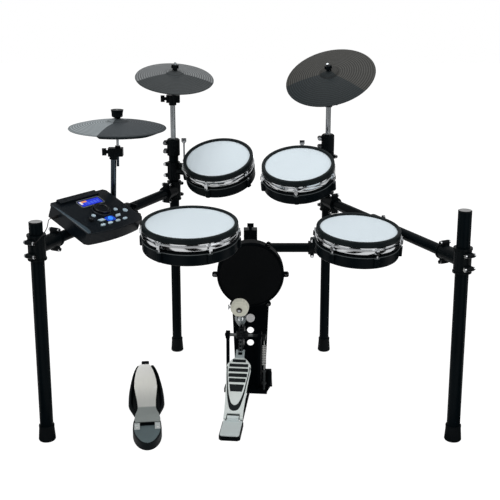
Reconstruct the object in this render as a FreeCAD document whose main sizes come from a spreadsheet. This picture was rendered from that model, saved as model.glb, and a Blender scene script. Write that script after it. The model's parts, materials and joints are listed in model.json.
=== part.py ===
import FreeCAD, Part
import math
import os
import Sketcher
from FreeCAD import Placement, Rotation, Vector

# Electronic drum kit on a four-legged tube rack, in millimetres. +X is the player's right, +Y points
# away from the player and +Z is up; the floor is z = 0.

DRIVING = {
    # Where the rack stands: the line of the front legs lies this far on the player's side of the origin
    "front_line": 360.8,
    "fit_gap": 0.2,
    "running_gap": 0.06,
    # Rack tubes
    "leg_dia": 38.1,
    "upright_dia": 31.8,
    "tube_wall": 1.6,
    "front_span": 1166.0,
    "left_upright_x": -255.0,
    "right_upright_x": 259.0,
    "rack_depth": 655.0,
    "left_leg_top": 650.0,
    "right_leg_top": 682.0,
    "left_upright_top": 742.0,
    "right_upright_top": 757.0,
    "left_arm_z": 578.0,
    "right_arm_z": 541.0,
    "cross_z": 375.0,
    # Rubber feet and leg caps
    "foot_tall": 46.0,
    "foot_sole": 6.0,
    "foot_wall": 3.0,
    "foot_flare": 2.2,
    "foot_rim": 5.0,
    "cap_thick": 4.0,
    "cap_spigot": 14.0,
    # Rack clamps
    "clamp_wall": 5.5,
    "leg_clamp_tall": 72.0,
    "post_clamp_tall": 64.0,
    "leg_socket_long": 94.0,
    "post_socket_long": 60.0,
    "clamp_flange": 2.0,
    "clamp_flange_tall": 5.0,
    "lug_spacing": 38.0,
    "lug_out": 13.0,
    "lug_wide": 24.0,
    "lug_tall": 13.0,
    "bolt_dia": 6.0,
    "bolt_head_dia": 11.0,
    "bolt_head_tall": 5.0,
    "collar_tall": 40.0,
    "tall_collar": 58.0,
    "snare_clamp_along": 430.0,
    "floor_tom_clamp_along": 430.0,
    "hihat_clamp_along": 370.0,
    "module_clamp_along": 226.0,
    "left_tom_clamp_z": 646.0,
    "right_tom_clamp_z": 690.0,
    "crown_skirt": 44.0,
    "crown_tall": 12.0,
    "crown_lug_spacing": 28.0,
    "wing_wide": 22.0,
    "wing_tall": 13.0,
    "boss_long": 24.0,
    # Mesh pads, all cut from one pattern
    "snare_radius": 127.0,
    "floor_tom_radius": 112.0,
    "left_tom_radius": 101.6,
    "right_tom_radius": 101.6,
    "head_thick": 1.2,
    "head_collar": 9.0,
    "hoop_wide": 11.0,
    "hoop_rise": 6.0,
    "hoop_skirt": 10.0,
    "rim_tall": 20.0,
    "rim_flange": 1.6,
    "rim_flange_tall": 3.2,
    "rim_recess": 3.5,
    "neck_tall": 40.0,
    "shell_lip": 1.0,
    "shell_deep": 76.0,
    "shell_foot": 7.0,
    "shell_wall": 4.0,
    "lug_boss_wide": 15.0,
    "lug_boss_tall": 28.0,
    "tension_rod_dia": 5.0,
    "ear_drop": 56.0,
    "barrel_dia": 14.0,
    "barrel_long": 18.0,
    "ear_thick": 5.0,
    "ear_gap": 0.4,
    "tilt_pin_dia": 7.0,
    "ear_tall": 17.0,
    "mount_rod_dia": 10.0,
    "mount_rod_out": 30.0,
    "height_bolt_over": 34.0,
    "sensor_dia": 36.0,
    "sensor_foam": 18.0,
    # Pad places: head centre and lean to the player, in degrees
    "snare_x": -171.0,
    "snare_y": 123.0,
    "snare_z": 610.0,
    "snare_lean": 5.2,
    "floor_tom_x": 315.0,
    "floor_tom_y": 171.0,
    "floor_tom_z": 580.0,
    "floor_tom_lean": 5.4,
    "left_tom_x": -102.0,
    "left_tom_y": 513.0,
    "left_tom_z": 716.0,
    "left_tom_lean": 22.0,
    "right_tom_x": 148.0,
    "right_tom_y": 394.0,
    "right_tom_z": 722.0,
    "right_tom_lean": 18.4,
    # Cymbal pads and their stands
    "hihat_radius": 146.0,
    "crash_radius": 129.0,
    "ride_radius": 149.0,
    "cymbal_thick": 4.5,
    "cymbal_edge": 3.0,
    "bow_rise": 18.0,
    "bell_rise": 10.0,
    "bell_radius": 33.0,
    "bow_arc": 420.0,
    "bell_arc": 52.0,
    "cymbal_hole": 14.0,
    "stem_dia": 8.0,
    "stem_below": 118.0,
    "stem_above": 26.0,
    "seat_dia": 16.0,
    "seat_gap": 0.95,
    "seat_tall": 8.0,
    "stand_tube_dia": 17.0,
    "stand_sunk": 90.0,
    "tilter_drop": 70.0,
    "tilter_wide": 44.0,
    "tilter_deep": 25.0,
    "hihat_x": -396.0,
    "hihat_y": 330.0,
    "hihat_z": 849.0,
    "crash_x": -247.0,
    "crash_y": 652.0,
    "crash_z": 955.0,
    "crash_lean": 15.2,
    "ride_x": 263.0,
    "ride_y": 650.0,
    "ride_z": 959.0,
    "ride_lean": 29.2,
    "crash_tube_top": 884.0,
    "ride_tube_top": 878.0,
    "hihat_tube_top": 772.0,
    # Kick pad on its tower
    "kick_radius": 106.0,
    "kick_z": 371.0,
    "kick_face_y": 372.0,
    "kick_deep": 40.0,
    "kick_rim": 8.0,
    "kick_head_thick": 3.0,
    "kick_lug_out": 7.0,
    "tower_thick": 4.0,
    "tower_top_wide": 122.0,
    "tower_foot_wide": 96.0,
    "tower_top": 440.0,
    "tower_hole_dia": 22.0,
    "tower_base_wide": 140.0,
    "tower_base_long": 132.0,
    "tower_flange": 20.0,
    "brace_dia": 10.0,
    "brace_block_wide": 46.0,
    "brace_block_top": 442.0,
    # Kick pedal, in its own frame: the heel's front edge at y = 0, the toe towards +y
    "axle_x": -25.0,
    "axle_to_kick": 42.8,
    "pedal_turn": -5.85,
    "heel_wide": 56.0,
    "heel_long": 92.0,
    "heel_base_tall": 13.0,
    "heel_plate_thick": 6.0,
    "hinge_y": 98.0,
    "hinge_z": 24.0,
    "hinge_pin_dia": 6.0,
    "hinge_lug_radius": 7.0,
    "notch_deep": 13.0,
    "knuckle_dia": 13.0,
    "tongue_wide": 36.0,
    "tongue_gap": 1.2,
    "board_long": 235.5,
    "board_slope": 32.4,
    "board_thick": 5.0,
    "board_wide": 76.0,
    "board_waist": 65.0,
    "board_heel": 57.0,
    "neck_wide": 27.0,
    "axle_dia": 10.0,
    "post_left_x": -45.0,
    "post_right_x": 56.0,
    "post_thick": 9.0,
    "post_deep": 16.0,
    "bearing_dia": 26.0,
    "base_bar_tall": 14.0,
    "base_bar_deep": 34.0,
    "rail_gap": 46.0,
    "rail_wide": 7.0,
    "cam_radius": 40.0,
    "cam_thick": 12.0,
    "hub_dia": 24.0,
    "chain_pitch": 12.7,
    "chain_links": 3,
    "roller_dia": 8.0,
    "chain_gap": 2.2,
    "chain_sink": 1.3,
    "chain_wide": 11.0,
    "beater_shaft_long": 130.0,
    "beater_shaft_dia": 8.0,
    "beater_lean": 28.0,
    "beater_dia": 56.0,
    "beater_long": 32.0,
    "beater_nod": 16.0,
    "yoke_deep": 14.0,
    "knob_dia": 19.0,
    "knob_tall": 34.0,
    "spring_x": 72.0,
    "spring_arm": 22.0,
    "spring_radius": 6.2,
    "spring_wire_dia": 1.6,
    "spring_turns": 12,
    "spring_pitch": 4.6,
    "spring_drop": 107.0,
    "lever_thick": 8.0,
    # Hi-hat control pedal, in its own frame: heel at y = 0, toe towards +y
    "control_x": -293.0,
    "control_y": -65.0,
    "control_turn": 6.5,
    "control_long": 366.0,
    "control_wide": 104.0,
    "control_heel_wide": 82.0,
    "control_toe_wide": 42.0,
    "control_heel_tall": 24.0,
    "control_toe_tall": 72.0,
    "control_hinge_y": 120.0,
    "control_hinge_z": 30.0,
    "control_pin_dia": 6.0,
    "plate_toe_gap": 11.0,
    "toe_wall": 8.0,
    "plate_slope": 19.0,
    "plate_thick": 3.0,
    "plate_wide": 74.0,
    "plate_waist": 46.0,
    "plate_toe": 42.0,
    # Sound module, in its own frame on the top panel's plane
    "module_x": -443.0,
    "module_y": 182.0,
    "module_z": 632.0,
    "module_turn": 53.0,
    "module_slope": 22.0,
    "module_wide": 224.0,
    "module_deep": 174.0,
    "module_tall": 40.0,
    "module_corner": 9.0,
    "module_bow": 600.0,
    "panel_thick": 4.0,
    "panel_round": 2.5,
    "case_inset": 2.0,
    "ledge_wide": 150.0,
    "ledge_deep": 20.0,
    "ledge_tall": 7.0,
    "key_gap": 0.35,
    "key_proud": 2.6,
    "jog_dia": 50.0,
    "jog_tall": 10.0,
    "volume_dia": 14.0,
    "volume_tall": 10.0,
    "dial_lift": 0.3,
    "dial_shaft_dia": 6.0,
    "display_wide": 78.0,
    "display_deep": 24.0,
    "display_proud": 0.6,
    # Lead from the module to the rack
    "lead_dia": 2.6,
    "plug_dia": 8.0,
    "plug_long": 18.0,
}


class Size(float):
    """A number that remembers the sheet formula it comes from."""

    def __new__(cls, value, formula):
        size = super().__new__(cls, value)
        size.formula = formula
        return size

    def __add__(self, other):
        return joined(self, "+", other)

    def __radd__(self, other):
        return joined(other, "+", self)

    def __sub__(self, other):
        return joined(self, "-", other)

    def __rsub__(self, other):
        return joined(other, "-", self)

    def __mul__(self, other):
        return joined(self, "*", other)

    def __rmul__(self, other):
        return joined(other, "*", self)

    def __truediv__(self, other):
        return joined(self, "/", other)

    def __neg__(self):
        return joined(0.0, "-", self)


ARITHMETIC = {"+": float.__add__, "-": float.__sub__, "*": float.__mul__, "/": float.__truediv__}


def formula_of(value):
    return value.formula if isinstance(value, Size) else repr(float(value))


def joined(left, sign, right):
    value = ARITHMETIC[sign](float(left), float(right))
    return Size(value, f"({formula_of(left)} {sign} {formula_of(right)})")


doc = FreeCAD.newDocument("drum_kit")
sheet = doc.addObject("Spreadsheet::Sheet", "Sizes")


class Sizes:
    """The driving dimensions by name, each one a cell of the sheet."""

    def __init__(self, driving):
        for row, (name, value) in enumerate(driving.items(), 1):
            sheet.set(f"A{row}", name)
            sheet.set(f"B{row}", str(value))
            sheet.setAlias(f"B{row}", name)
            setattr(self, name, Size(value, f"Sizes.{name}"))


s = Sizes(DRIVING)
doc.recompute()

X, Y, Z = Vector(1, 0, 0), Vector(0, 1, 0), Vector(0, 0, 1)
ORIGIN = Vector(0, 0, 0)
nodes = {}


def floor_point(x, y, z=0.0):
    """A point given from the middle of the front legs' line."""
    return Vector(x, y - s.front_line, z)


def node(label, thing, place=None):
    """Names a finished sub-part and puts it where it belongs."""
    thing.Label = label
    if place is not None:
        thing.Placement = place
    nodes[label] = thing
    return thing


def bind(thing, **sizes):
    for name, size in sizes.items():
        setattr(thing, name, float(size))
        if isinstance(size, Size):
            thing.setExpression(name, size.formula)
    return thing


def facing(start, along):
    """Placement that carries +Z to the given direction."""
    return Placement(start, Rotation(Z, along))


def rod(radius, length, start=ORIGIN, along=Z):
    made = bind(doc.addObject("Part::Cylinder", "rod"), Radius=radius, Height=length)
    made.Placement = facing(start, along)
    return made


def taper(low_radius, high_radius, length, start=ORIGIN, along=Z):
    made = bind(doc.addObject("Part::Cone", "taper"), Radius1=low_radius, Radius2=high_radius, Height=length)
    made.Placement = facing(start, along)
    return made


def ball(radius, centre):
    made = bind(doc.addObject("Part::Sphere", "ball"), Radius=radius)
    made.Placement = Placement(centre, Rotation())
    return made


def block(length, width, height, centre, turn=Rotation()):
    """Box of the given sizes about its centre."""
    made = bind(doc.addObject("Part::Box", "block"), Length=length, Width=width, Height=height)
    corner = centre - turn.multVec(Vector(length / 2, width / 2, height / 2))
    made.Placement = Placement(corner, turn)
    return made


def fuse(*pieces):
    made = doc.addObject("Part::MultiFuse", "joined")
    made.Shapes = list(pieces)
    return made


def cut(base, *tools):
    made = doc.addObject("Part::Cut", "bored")
    made.Base = base
    made.Tool = tools[0] if len(tools) == 1 else fuse(*tools)
    return made


def group(*solids):
    made = doc.addObject("Part::Compound", "set")
    made.Links = list(solids)
    return made


def put(thing, place):
    thing.Placement = place
    return thing


def tube(diameter, length, start, along=Z):
    bore = rod(diameter / 2 - s.tube_wall, length, start, along)
    return cut(rod(diameter / 2, length, start, along), bore)


def arc_between(start, end, radius):
    """Arc of the given radius; a positive one bulges to the left of the way from start to end."""
    half = (end - start) * 0.5
    left = Vector(-half.y, half.x, 0).normalize()
    sag = abs(radius) - math.sqrt(max(0.0, radius * radius - half.Length * half.Length))
    return Part.Arc(start, start + half + left * math.copysign(sag, radius), end)


def hold_point(sketch, geometry, position, place):
    """Fixes one sketch point by its two distances from the sketch's origin."""
    if abs(place[0]) < 1e-9 and abs(place[1]) < 1e-9:
        sketch.addConstraint(Sketcher.Constraint("Coincident", geometry, position, -1, 1))
        return
    for kind, axis, distance in (("DistanceX", -2, place[0]), ("DistanceY", -1, place[1])):
        if abs(distance) < 1e-9:
            sketch.addConstraint(Sketcher.Constraint("PointOnObject", geometry, position, axis))
            continue
        ends = (-1, 1, geometry, position) if distance > 0 else (geometry, position, -1, 1)
        size = distance if distance > 0 else -distance
        rule = sketch.addConstraint(Sketcher.Constraint(kind, *ends, float(size)))
        if isinstance(size, Size):
            sketch.setExpression(f"Constraints[{rule}]", size.formula)


def draw(body, plane_role, outline, lift=0.0, turn=0.0, holes=()):
    """Closed sketch through the outline's points; a third number there makes the way to it an arc.

    Circles are given as x, y and radius: holes in the outline, or discs where there is no outline.
    """
    sketch = body.newObject("Sketcher::SketchObject", "outline")
    plane = next(feature for feature in body.Origin.OriginFeatures if feature.Role == plane_role)
    sketch.AttachmentSupport = [(plane, "")]
    sketch.MapMode = "FlatFace"
    sketch.AttachmentOffset = Placement(Vector(0, 0, lift), Rotation(Z, turn))
    if isinstance(lift, Size):
        sketch.setExpression("AttachmentOffset.Base.z", lift.formula)
    corners = [Vector(point[0], point[1], 0) for point in outline]
    ends = []
    for index, point in enumerate(outline):
        start, end = corners[index - 1], corners[index]
        if len(point) == 2:
            sketch.addGeometry(Part.LineSegment(start, end), False)
            ends.append((1, 2))
            continue
        sketch.addGeometry(arc_between(start, end, float(point[2])), False)
        ends.append((2, 1) if point[2] > 0 else (1, 2))
    for index, point in enumerate(outline):
        following = (index + 1) % len(outline)
        sketch.addConstraint(
            Sketcher.Constraint("Coincident", index, ends[index][1], following, ends[following][0]))
        hold_point(sketch, index, ends[index][1], point)
    for index, point in enumerate(outline):
        if len(point) > 2:
            hold_radius(sketch, index, point[2] if point[2] > 0 else -point[2])
    for x, y, radius in holes:
        circle = sketch.addGeometry(Part.Circle(Vector(x, y, 0), Z, float(radius)), False)
        hold_point(sketch, circle, 3, (x, y))
        hold_radius(sketch, circle, radius)
    return sketch


def hold_radius(sketch, geometry, radius):
    rule = sketch.addConstraint(Sketcher.Constraint("Radius", geometry, float(radius)))
    if isinstance(radius, Size):
        sketch.setExpression(f"Constraints[{rule}]", radius.formula)


def turned(profile):
    """Body turned about +Z from a profile of radius and height."""
    body = doc.addObject("PartDesign::Body", "turned")
    sketch = draw(body, "XZ_Plane", profile)
    spin = body.newObject("PartDesign::Revolution", "spin")
    spin.Profile = sketch
    spin.ReferenceAxis = (sketch, ["V_Axis"])
    spin.Angle = 360
    return body


def add_pad(body, outline, thickness, lift=0.0, turn=0.0, holes=(), plane="XY_Plane"):
    pad = body.newObject("PartDesign::Pad", "pad")
    pad.Profile = draw(body, plane, outline, lift, turn, holes)
    return bind(pad, Length=thickness)


def plate(outline, thickness, lift=0.0, holes=(), plane="XY_Plane"):
    body = doc.addObject("PartDesign::Body", "plate")
    add_pad(body, outline, thickness, lift, 0.0, holes, plane)
    return body


def around(body, features, count):
    """Repeats features about the body's own axis."""
    ring = body.newObject("PartDesign::PolarPattern", "around")
    ring.Originals = features
    ring.Axis = (features[0].Profile[0], ["N_Axis"])
    ring.Angle = 360
    ring.Occurrences = count
    body.Tip = ring
    return ring


def mirrored(right_side):
    """Outline that is the same on both sides of x = 0, from its right side listed upwards."""
    left_side = [(-point[0], point[1]) for point in reversed(right_side)]
    return list(right_side) + left_side


# Rack: four legs, two side arms and the cross tube
half_span = s.front_span / 2
FRONT_LEFT = floor_point(-half_span, 0.0)
FRONT_RIGHT = floor_point(half_span, 0.0)
REAR_LEFT = floor_point(s.left_upright_x, s.rack_depth)
REAR_RIGHT = floor_point(s.right_upright_x, s.rack_depth)


def level_with(point, height):
    return Vector(point.x, point.y, height)


def direction(start, end):
    return (end - start).normalize()


def square_to(way, axis):
    """The part of a direction that is square to an axis, as a direction."""
    return (way - axis * way.dot(axis)).normalize()


LEFT_ARM = direction(FRONT_LEFT, REAR_LEFT)
RIGHT_ARM = direction(FRONT_RIGHT, REAR_RIGHT)


def along_left_arm(distance):
    return level_with(FRONT_LEFT + LEFT_ARM * distance, s.left_arm_z)


def along_right_arm(distance):
    return level_with(FRONT_RIGHT + RIGHT_ARM * distance, s.right_arm_z)


def standing_tube(foot, diameter, top):
    return tube(diameter, top - s.foot_sole, level_with(foot, s.foot_sole))


def spanning_tube(start, end, start_dia, end_dia):
    """Tube between two posts, ending just clear of the clamp bodies that hold it."""
    way = direction(start, end)
    clear_start = start_dia / 2 + s.clamp_wall + s.fit_gap
    clear_end = end_dia / 2 + s.clamp_wall + s.fit_gap
    length = (end - start).Length - clear_start - clear_end
    return tube(s.upright_dia, length, start + way * clear_start, way)


def rubber_foot(leg_dia):
    """Flared boot with a rim line at its mouth and a rounded sole."""
    bore = leg_dia / 2 + s.fit_gap
    outer = bore + s.foot_wall
    return turned([
        (0.0, 0.0),
        (outer + s.foot_flare - 2.0, 0.0),
        (outer + s.foot_flare, 3.0),
        (outer - 0.6, s.foot_tall - s.foot_rim),
        (outer, s.foot_tall - s.foot_rim),
        (outer, s.foot_tall),
        (bore, s.foot_tall),
        (bore, s.foot_sole),
        (0.0, s.foot_sole),
    ])


def leg_cap():
    """Domed cap whose spigot sits in the leg's bore."""
    bore = s.leg_dia / 2 - s.tube_wall - s.fit_gap
    return turned([
        (0.0, -s.cap_spigot),
        (bore, -s.cap_spigot),
        (bore, 0.0),
        (s.leg_dia / 2, 0.0),
        (s.leg_dia / 2, s.cap_thick - 1.0),
        (s.leg_dia / 2 - 1.5, s.cap_thick),
        (0.0, s.cap_thick),
    ])


left_tube_top = s.left_leg_top - s.cap_thick
right_tube_top = s.right_leg_top - s.cap_thick
node("front_legs", group(standing_tube(FRONT_LEFT, s.leg_dia, left_tube_top),
                         standing_tube(FRONT_RIGHT, s.leg_dia, right_tube_top)))
node("rear_uprights", group(standing_tube(REAR_LEFT, s.upright_dia, s.left_upright_top),
                            standing_tube(REAR_RIGHT, s.upright_dia, s.right_upright_top)))
node("side_arms", group(
    spanning_tube(level_with(FRONT_LEFT, s.left_arm_z), level_with(REAR_LEFT, s.left_arm_z),
                  s.leg_dia, s.upright_dia),
    spanning_tube(level_with(FRONT_RIGHT, s.right_arm_z), level_with(REAR_RIGHT, s.right_arm_z),
                  s.leg_dia, s.upright_dia)))
node("cross_tube", spanning_tube(level_with(REAR_LEFT, s.cross_z), level_with(REAR_RIGHT, s.cross_z),
                                 s.upright_dia, s.upright_dia))
node("tube_ends", group(
    put(rubber_foot(s.leg_dia), Placement(FRONT_LEFT, Rotation())),
    put(rubber_foot(s.leg_dia), Placement(FRONT_RIGHT, Rotation())),
    put(rubber_foot(s.upright_dia), Placement(REAR_LEFT, Rotation())),
    put(rubber_foot(s.upright_dia), Placement(REAR_RIGHT, Rotation())),
    put(leg_cap(), Placement(level_with(FRONT_LEFT, left_tube_top), Rotation())),
    put(leg_cap(), Placement(level_with(FRONT_RIGHT, right_tube_top), Rotation()))))

# Clamps: each is a split plastic casting with bolted lugs
clamps = []
bolts = []
wings = []


def bolt_through(centre, along, width):
    """Hex-socket bolt through a pair of lugs, with its nut on the far side."""
    start = centre - along * (width / 2)
    shank = rod(s.bolt_dia / 2, width, start, along)
    head = rod(s.bolt_head_dia / 2, s.bolt_head_tall, start, -along)
    nut = rod(s.bolt_head_dia / 2, s.bolt_head_tall, start + along * width, along)
    return fuse(shank, head, nut)


def bolted_lug(centre, out, bolt_way, depth):
    """Lug that stands out from a sleeve and ends in a round boss about its bolt."""
    across = bolt_way.cross(out)
    turn = Rotation(out, bolt_way, -across, "XYZ")
    boss = centre + out * (depth / 2 - s.lug_tall / 2)
    body = block(depth - s.lug_tall / 2, s.lug_wide, s.lug_tall, centre - out * (s.lug_tall / 4), turn)
    return boss, fuse(body, rod(s.lug_tall / 2, s.lug_wide, boss - bolt_way * (s.lug_wide / 2), bolt_way))


def bolt_bore(spot, bolt_way):
    return rod(s.bolt_dia / 2 + s.fit_gap, s.lug_wide, spot - bolt_way * (s.lug_wide / 2), bolt_way)


def tee_clamp(post, post_dia, tall, arm_way, socket_long):
    """Sleeve on a post with a socket for a level tube, flanged ends and two bolted lugs on each."""
    place = Placement(post, Rotation(X, arm_way))
    sleeve_radius = post_dia / 2 + s.clamp_wall
    socket_radius = s.upright_dia / 2 + s.clamp_wall
    lug_depth = s.lug_out + s.clamp_wall
    lug_x = -(sleeve_radius + s.lug_out - lug_depth / 2)
    socket_lug_x = socket_long - s.lug_tall
    socket_lug_z = socket_radius + s.lug_out - lug_depth / 2
    lugs = [bolted_lug(Vector(lug_x, 0, s.lug_spacing / 2), -X, Y, lug_depth),
            bolted_lug(Vector(lug_x, 0, -s.lug_spacing / 2), -X, Y, lug_depth),
            bolted_lug(Vector(socket_lug_x, 0, socket_lug_z), Z, Y, lug_depth),
            bolted_lug(Vector(socket_lug_x, 0, -socket_lug_z), -Z, Y, lug_depth)]
    flange = sleeve_radius + s.clamp_flange
    rings = [rod(flange, s.clamp_flange_tall, Vector(0, 0, -tall / 2)),
             rod(flange, s.clamp_flange_tall, Vector(0, 0, tall / 2 - s.clamp_flange_tall)),
             rod(socket_radius + s.clamp_flange, s.clamp_flange_tall,
                 Vector(socket_long - s.clamp_flange_tall, 0, 0), X)]
    solid = fuse(rod(sleeve_radius, tall, Vector(0, 0, -tall / 2)),
                 rod(socket_radius, socket_long, ORIGIN, X), *rings, *[lug for _, lug in lugs])
    bores = [rod(post_dia / 2 + s.fit_gap, tall, Vector(0, 0, -tall / 2)),
             rod(s.upright_dia / 2 + s.fit_gap, socket_long, Vector(sleeve_radius, 0, 0), X)]
    bores += [bolt_bore(spot, Y) for spot, _ in lugs]
    clamps.append(put(cut(solid, *bores), place))
    for spot, _ in lugs:
        bolts.append(bolt_through(place.multVec(spot), place.Rotation.multVec(Y), s.lug_wide))


for leg, height, arm in ((FRONT_LEFT, s.left_arm_z, LEFT_ARM), (FRONT_RIGHT, s.right_arm_z, RIGHT_ARM)):
    tee_clamp(level_with(leg, height), s.leg_dia, s.leg_clamp_tall, arm, s.leg_socket_long)
for post, height, arm in ((REAR_LEFT, s.left_arm_z, -LEFT_ARM), (REAR_RIGHT, s.right_arm_z, -RIGHT_ARM),
                          (REAR_LEFT, s.cross_z, X), (REAR_RIGHT, s.cross_z, -X)):
    tee_clamp(level_with(post, height), s.upright_dia, s.post_clamp_tall, arm, s.post_socket_long)


def wing_screw(seat, up, wing_way, sunk):
    """Screw that stands on a clamp, sunk into it by its shank, with two wings."""
    turn = Rotation(wing_way, up.cross(wing_way), up, "XYZ")
    return fuse(rod(s.bolt_dia / 2, sunk + 6.0, seat - up * sunk, up),
                rod(s.bolt_head_dia / 2, 8.0, seat + up * 1.0, up),
                block(s.wing_wide, 4.0, s.wing_tall, seat + up * (6.0 + s.wing_tall / 2), turn))


def collar(centre, along, tube_dia, tall, side, side_bore, lug_offsets=(0.0,)):
    """Ring clamp on a tube: bolted lugs behind and, in front, a bored boss with its wing screw."""
    radius = tube_dia / 2 + s.clamp_wall
    boss_radius = side_bore / 2 + s.clamp_wall
    start = centre - along * (tall / 2)
    cross_way = along.cross(-side)
    lug_depth = s.lug_out + s.clamp_wall
    lug_out = radius + s.lug_out - lug_depth / 2
    lugs = [bolted_lug(centre - side * lug_out + along * offset, -side, cross_way, lug_depth)
            for offset in lug_offsets]
    screw_seat = centre + side * (radius + s.boss_long / 2)
    screw_way = along if along.z > 0.5 else side.cross(along)
    screw_way = screw_way if screw_way.z > 0 else -screw_way
    solid = fuse(rod(radius, tall, start, along), rod(boss_radius, radius + s.boss_long, centre, side),
                 *[lug for _, lug in lugs])
    sunk = boss_radius - side_bore / 2 - s.fit_gap
    clamps.append(cut(
        solid,
        rod(tube_dia / 2 + s.fit_gap, tall, start, along),
        rod(side_bore / 2 + s.fit_gap, s.boss_long, centre + side * radius, side),
        rod(s.bolt_dia / 2 + s.fit_gap, boss_radius, screw_seat, screw_way),
        *[bolt_bore(spot, cross_way) for spot, _ in lugs]))
    for spot, _ in lugs:
        bolts.append(bolt_through(spot, cross_way, s.lug_wide))
    wings.append(wing_screw(screw_seat + screw_way * boss_radius, screw_way, side, sunk))


# Mesh pads
class Pad:
    """One pad: where its head is, which way it leans and where its tilt pin sits."""

    def __init__(self, name, lug_count, mount_azimuth, right_up):
        self.name = name
        self.lug_count = lug_count
        self.radius = getattr(s, f"{name}_radius")
        centre = floor_point(getattr(s, f"{name}_x"), getattr(s, f"{name}_y"), getattr(s, f"{name}_z"))
        self.ear_turn = 180.0 / lug_count
        lean = Rotation(X, float(getattr(s, f"{name}_lean"))) * Rotation(Y, -right_up)
        self.place = Placement(centre, lean * Rotation(Z, mount_azimuth - self.ear_turn))
        self.ear_place = self.place * Placement(ORIGIN, Rotation(Z, self.ear_turn))
        self.barrel_out = self.radius + s.hoop_wide + s.barrel_dia / 2 + 4.0
        self.barrel = self.ear_place.multVec(Vector(self.barrel_out, 0, -s.ear_drop))
        self.out_way = self.ear_place.Rotation.multVec(X)
        self.tilt_way = self.ear_place.Rotation.multVec(Y)


ear_near = s.barrel_long / 2 + s.ear_gap
ear_far = ear_near + s.ear_thick
PADS = [
    Pad("snare", 6, 146.0, 0.0),
    Pad("floor_tom", 6, 80.0, -2.5),
    Pad("left_tom", 5, 143.0, 6.2),
    Pad("right_tom", 5, 84.0, 4.3),
]


def pad_head(pad):
    """Mesh head with the collar that its hoop pulls down."""
    edge = pad.radius + 5.0
    return turned([
        (0.0, -s.head_thick),
        (edge - 1.4, -s.head_thick),
        (edge - 1.4, -s.head_collar),
        (edge, -s.head_collar),
        (edge, 0.0),
        (0.0, 0.0),
    ])


def pad_hoop(pad):
    """Rubber hoop cover: a rounded lip that stands above the head's edge and a skirt outside it."""
    outer = pad.radius + s.hoop_wide
    lip = s.hoop_wide / 3
    return turned([
        (pad.radius, s.fit_gap),
        (pad.radius + 6.0, s.fit_gap),
        (pad.radius + 6.0, -s.hoop_skirt),
        (outer, -s.hoop_skirt),
        (outer, s.hoop_rise - lip),
        (outer - lip, s.hoop_rise, -lip * 1.2),
        (pad.radius + lip + 1.0, s.hoop_rise),
        (pad.radius, s.hoop_rise - lip, -lip * 1.4),
    ])


def pad_rim(pad):
    """Chrome flanged hoop with its claws and tension rods, set round the shell."""
    outer = pad.radius + s.hoop_wide
    top = -s.hoop_skirt - s.fit_gap
    low = top - s.rim_tall
    inner = pad.radius + 5.4
    flange = outer + s.rim_flange
    band = top - 2 * s.rim_flange_tall
    body = turned([
        (inner, low),
        (outer, low),
        (outer, band),
        (outer - s.rim_recess, band),
        (outer - s.rim_recess, top - s.rim_flange_tall),
        (flange, top - s.rim_flange_tall),
        (flange, top),
        (inner, top),
    ])
    claw_out = flange + s.tension_rod_dia + 1.5
    half = s.lug_boss_wide / 2 - 2.5
    claw_low = low - 2.0
    claw = add_pad(body, [(inner + 2.0, -half), (claw_out, -half), (claw_out, half), (inner + 2.0, half)],
                   band - claw_low - 3.0, claw_low)
    rod_centre = flange + s.tension_rod_dia / 2 - 0.8
    foot = -s.shell_deep + s.lug_boss_tall + s.shell_foot
    stem = add_pad(body, [], top - foot - s.fit_gap, foot + s.fit_gap,
                   holes=[(rod_centre, 0.0, s.tension_rod_dia / 2)])
    around(body, [claw, stem], pad.lug_count)
    return body


def pad_shell(pad):
    """Cup-shaped shell with a rolled lip, lug bosses, tilt ears and a rounded foot."""
    outer = pad.radius + s.hoop_wide
    neck = pad.radius + 1.0
    inner = pad.radius - s.shell_wall
    deep = -s.shell_deep
    lip = outer + s.shell_lip
    body = turned([
        (0.0, deep),
        (outer - s.shell_foot, deep),
        (outer, deep + s.shell_foot, -s.shell_foot),
        (outer, -s.neck_tall - 4.0),
        (lip, -s.neck_tall - 3.0),
        (lip, -s.neck_tall - 1.0),
        (lip - 1.0, -s.neck_tall),
        (neck + 2.0, -s.neck_tall),
        (neck, -s.neck_tall + 2.0),
        (neck, -s.head_thick - s.fit_gap),
        (inner, -s.head_thick - s.fit_gap),
        (inner, deep + s.shell_wall),
        (0.0, deep + s.shell_wall),
    ])
    half = s.lug_boss_wide / 2
    boss_out = outer + s.rim_flange + s.tension_rod_dia + 1.5
    boss = add_pad(body, [(outer - 2.0, -half), (boss_out - 3.0, -half), (boss_out, -half + 3.0),
                          (boss_out, half - 3.0), (boss_out - 3.0, half), (outer - 2.0, half)],
                   s.lug_boss_tall, deep + s.shell_foot)
    around(body, [boss], pad.lug_count)
    ear_out = pad.barrel_out + s.tilt_pin_dia
    ear_low = -s.ear_drop - s.ear_tall / 2
    for low, high in ((ear_near, ear_far), (-ear_far, -ear_near)):
        ear = add_pad(body, [(outer - 2.0, low), (ear_out, low), (ear_out, high), (outer - 2.0, high)],
                      s.ear_tall, ear_low, pad.ear_turn)
        body.Tip = ear
    to_ears = Rotation(Z, pad.ear_turn)
    pin_start = to_ears.multVec(Vector(pad.barrel_out, -ear_far, -s.ear_drop))
    return cut(body, rod(s.tilt_pin_dia / 2 + s.running_gap, 2 * ear_far, pin_start, to_ears.multVec(Y)))


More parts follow.
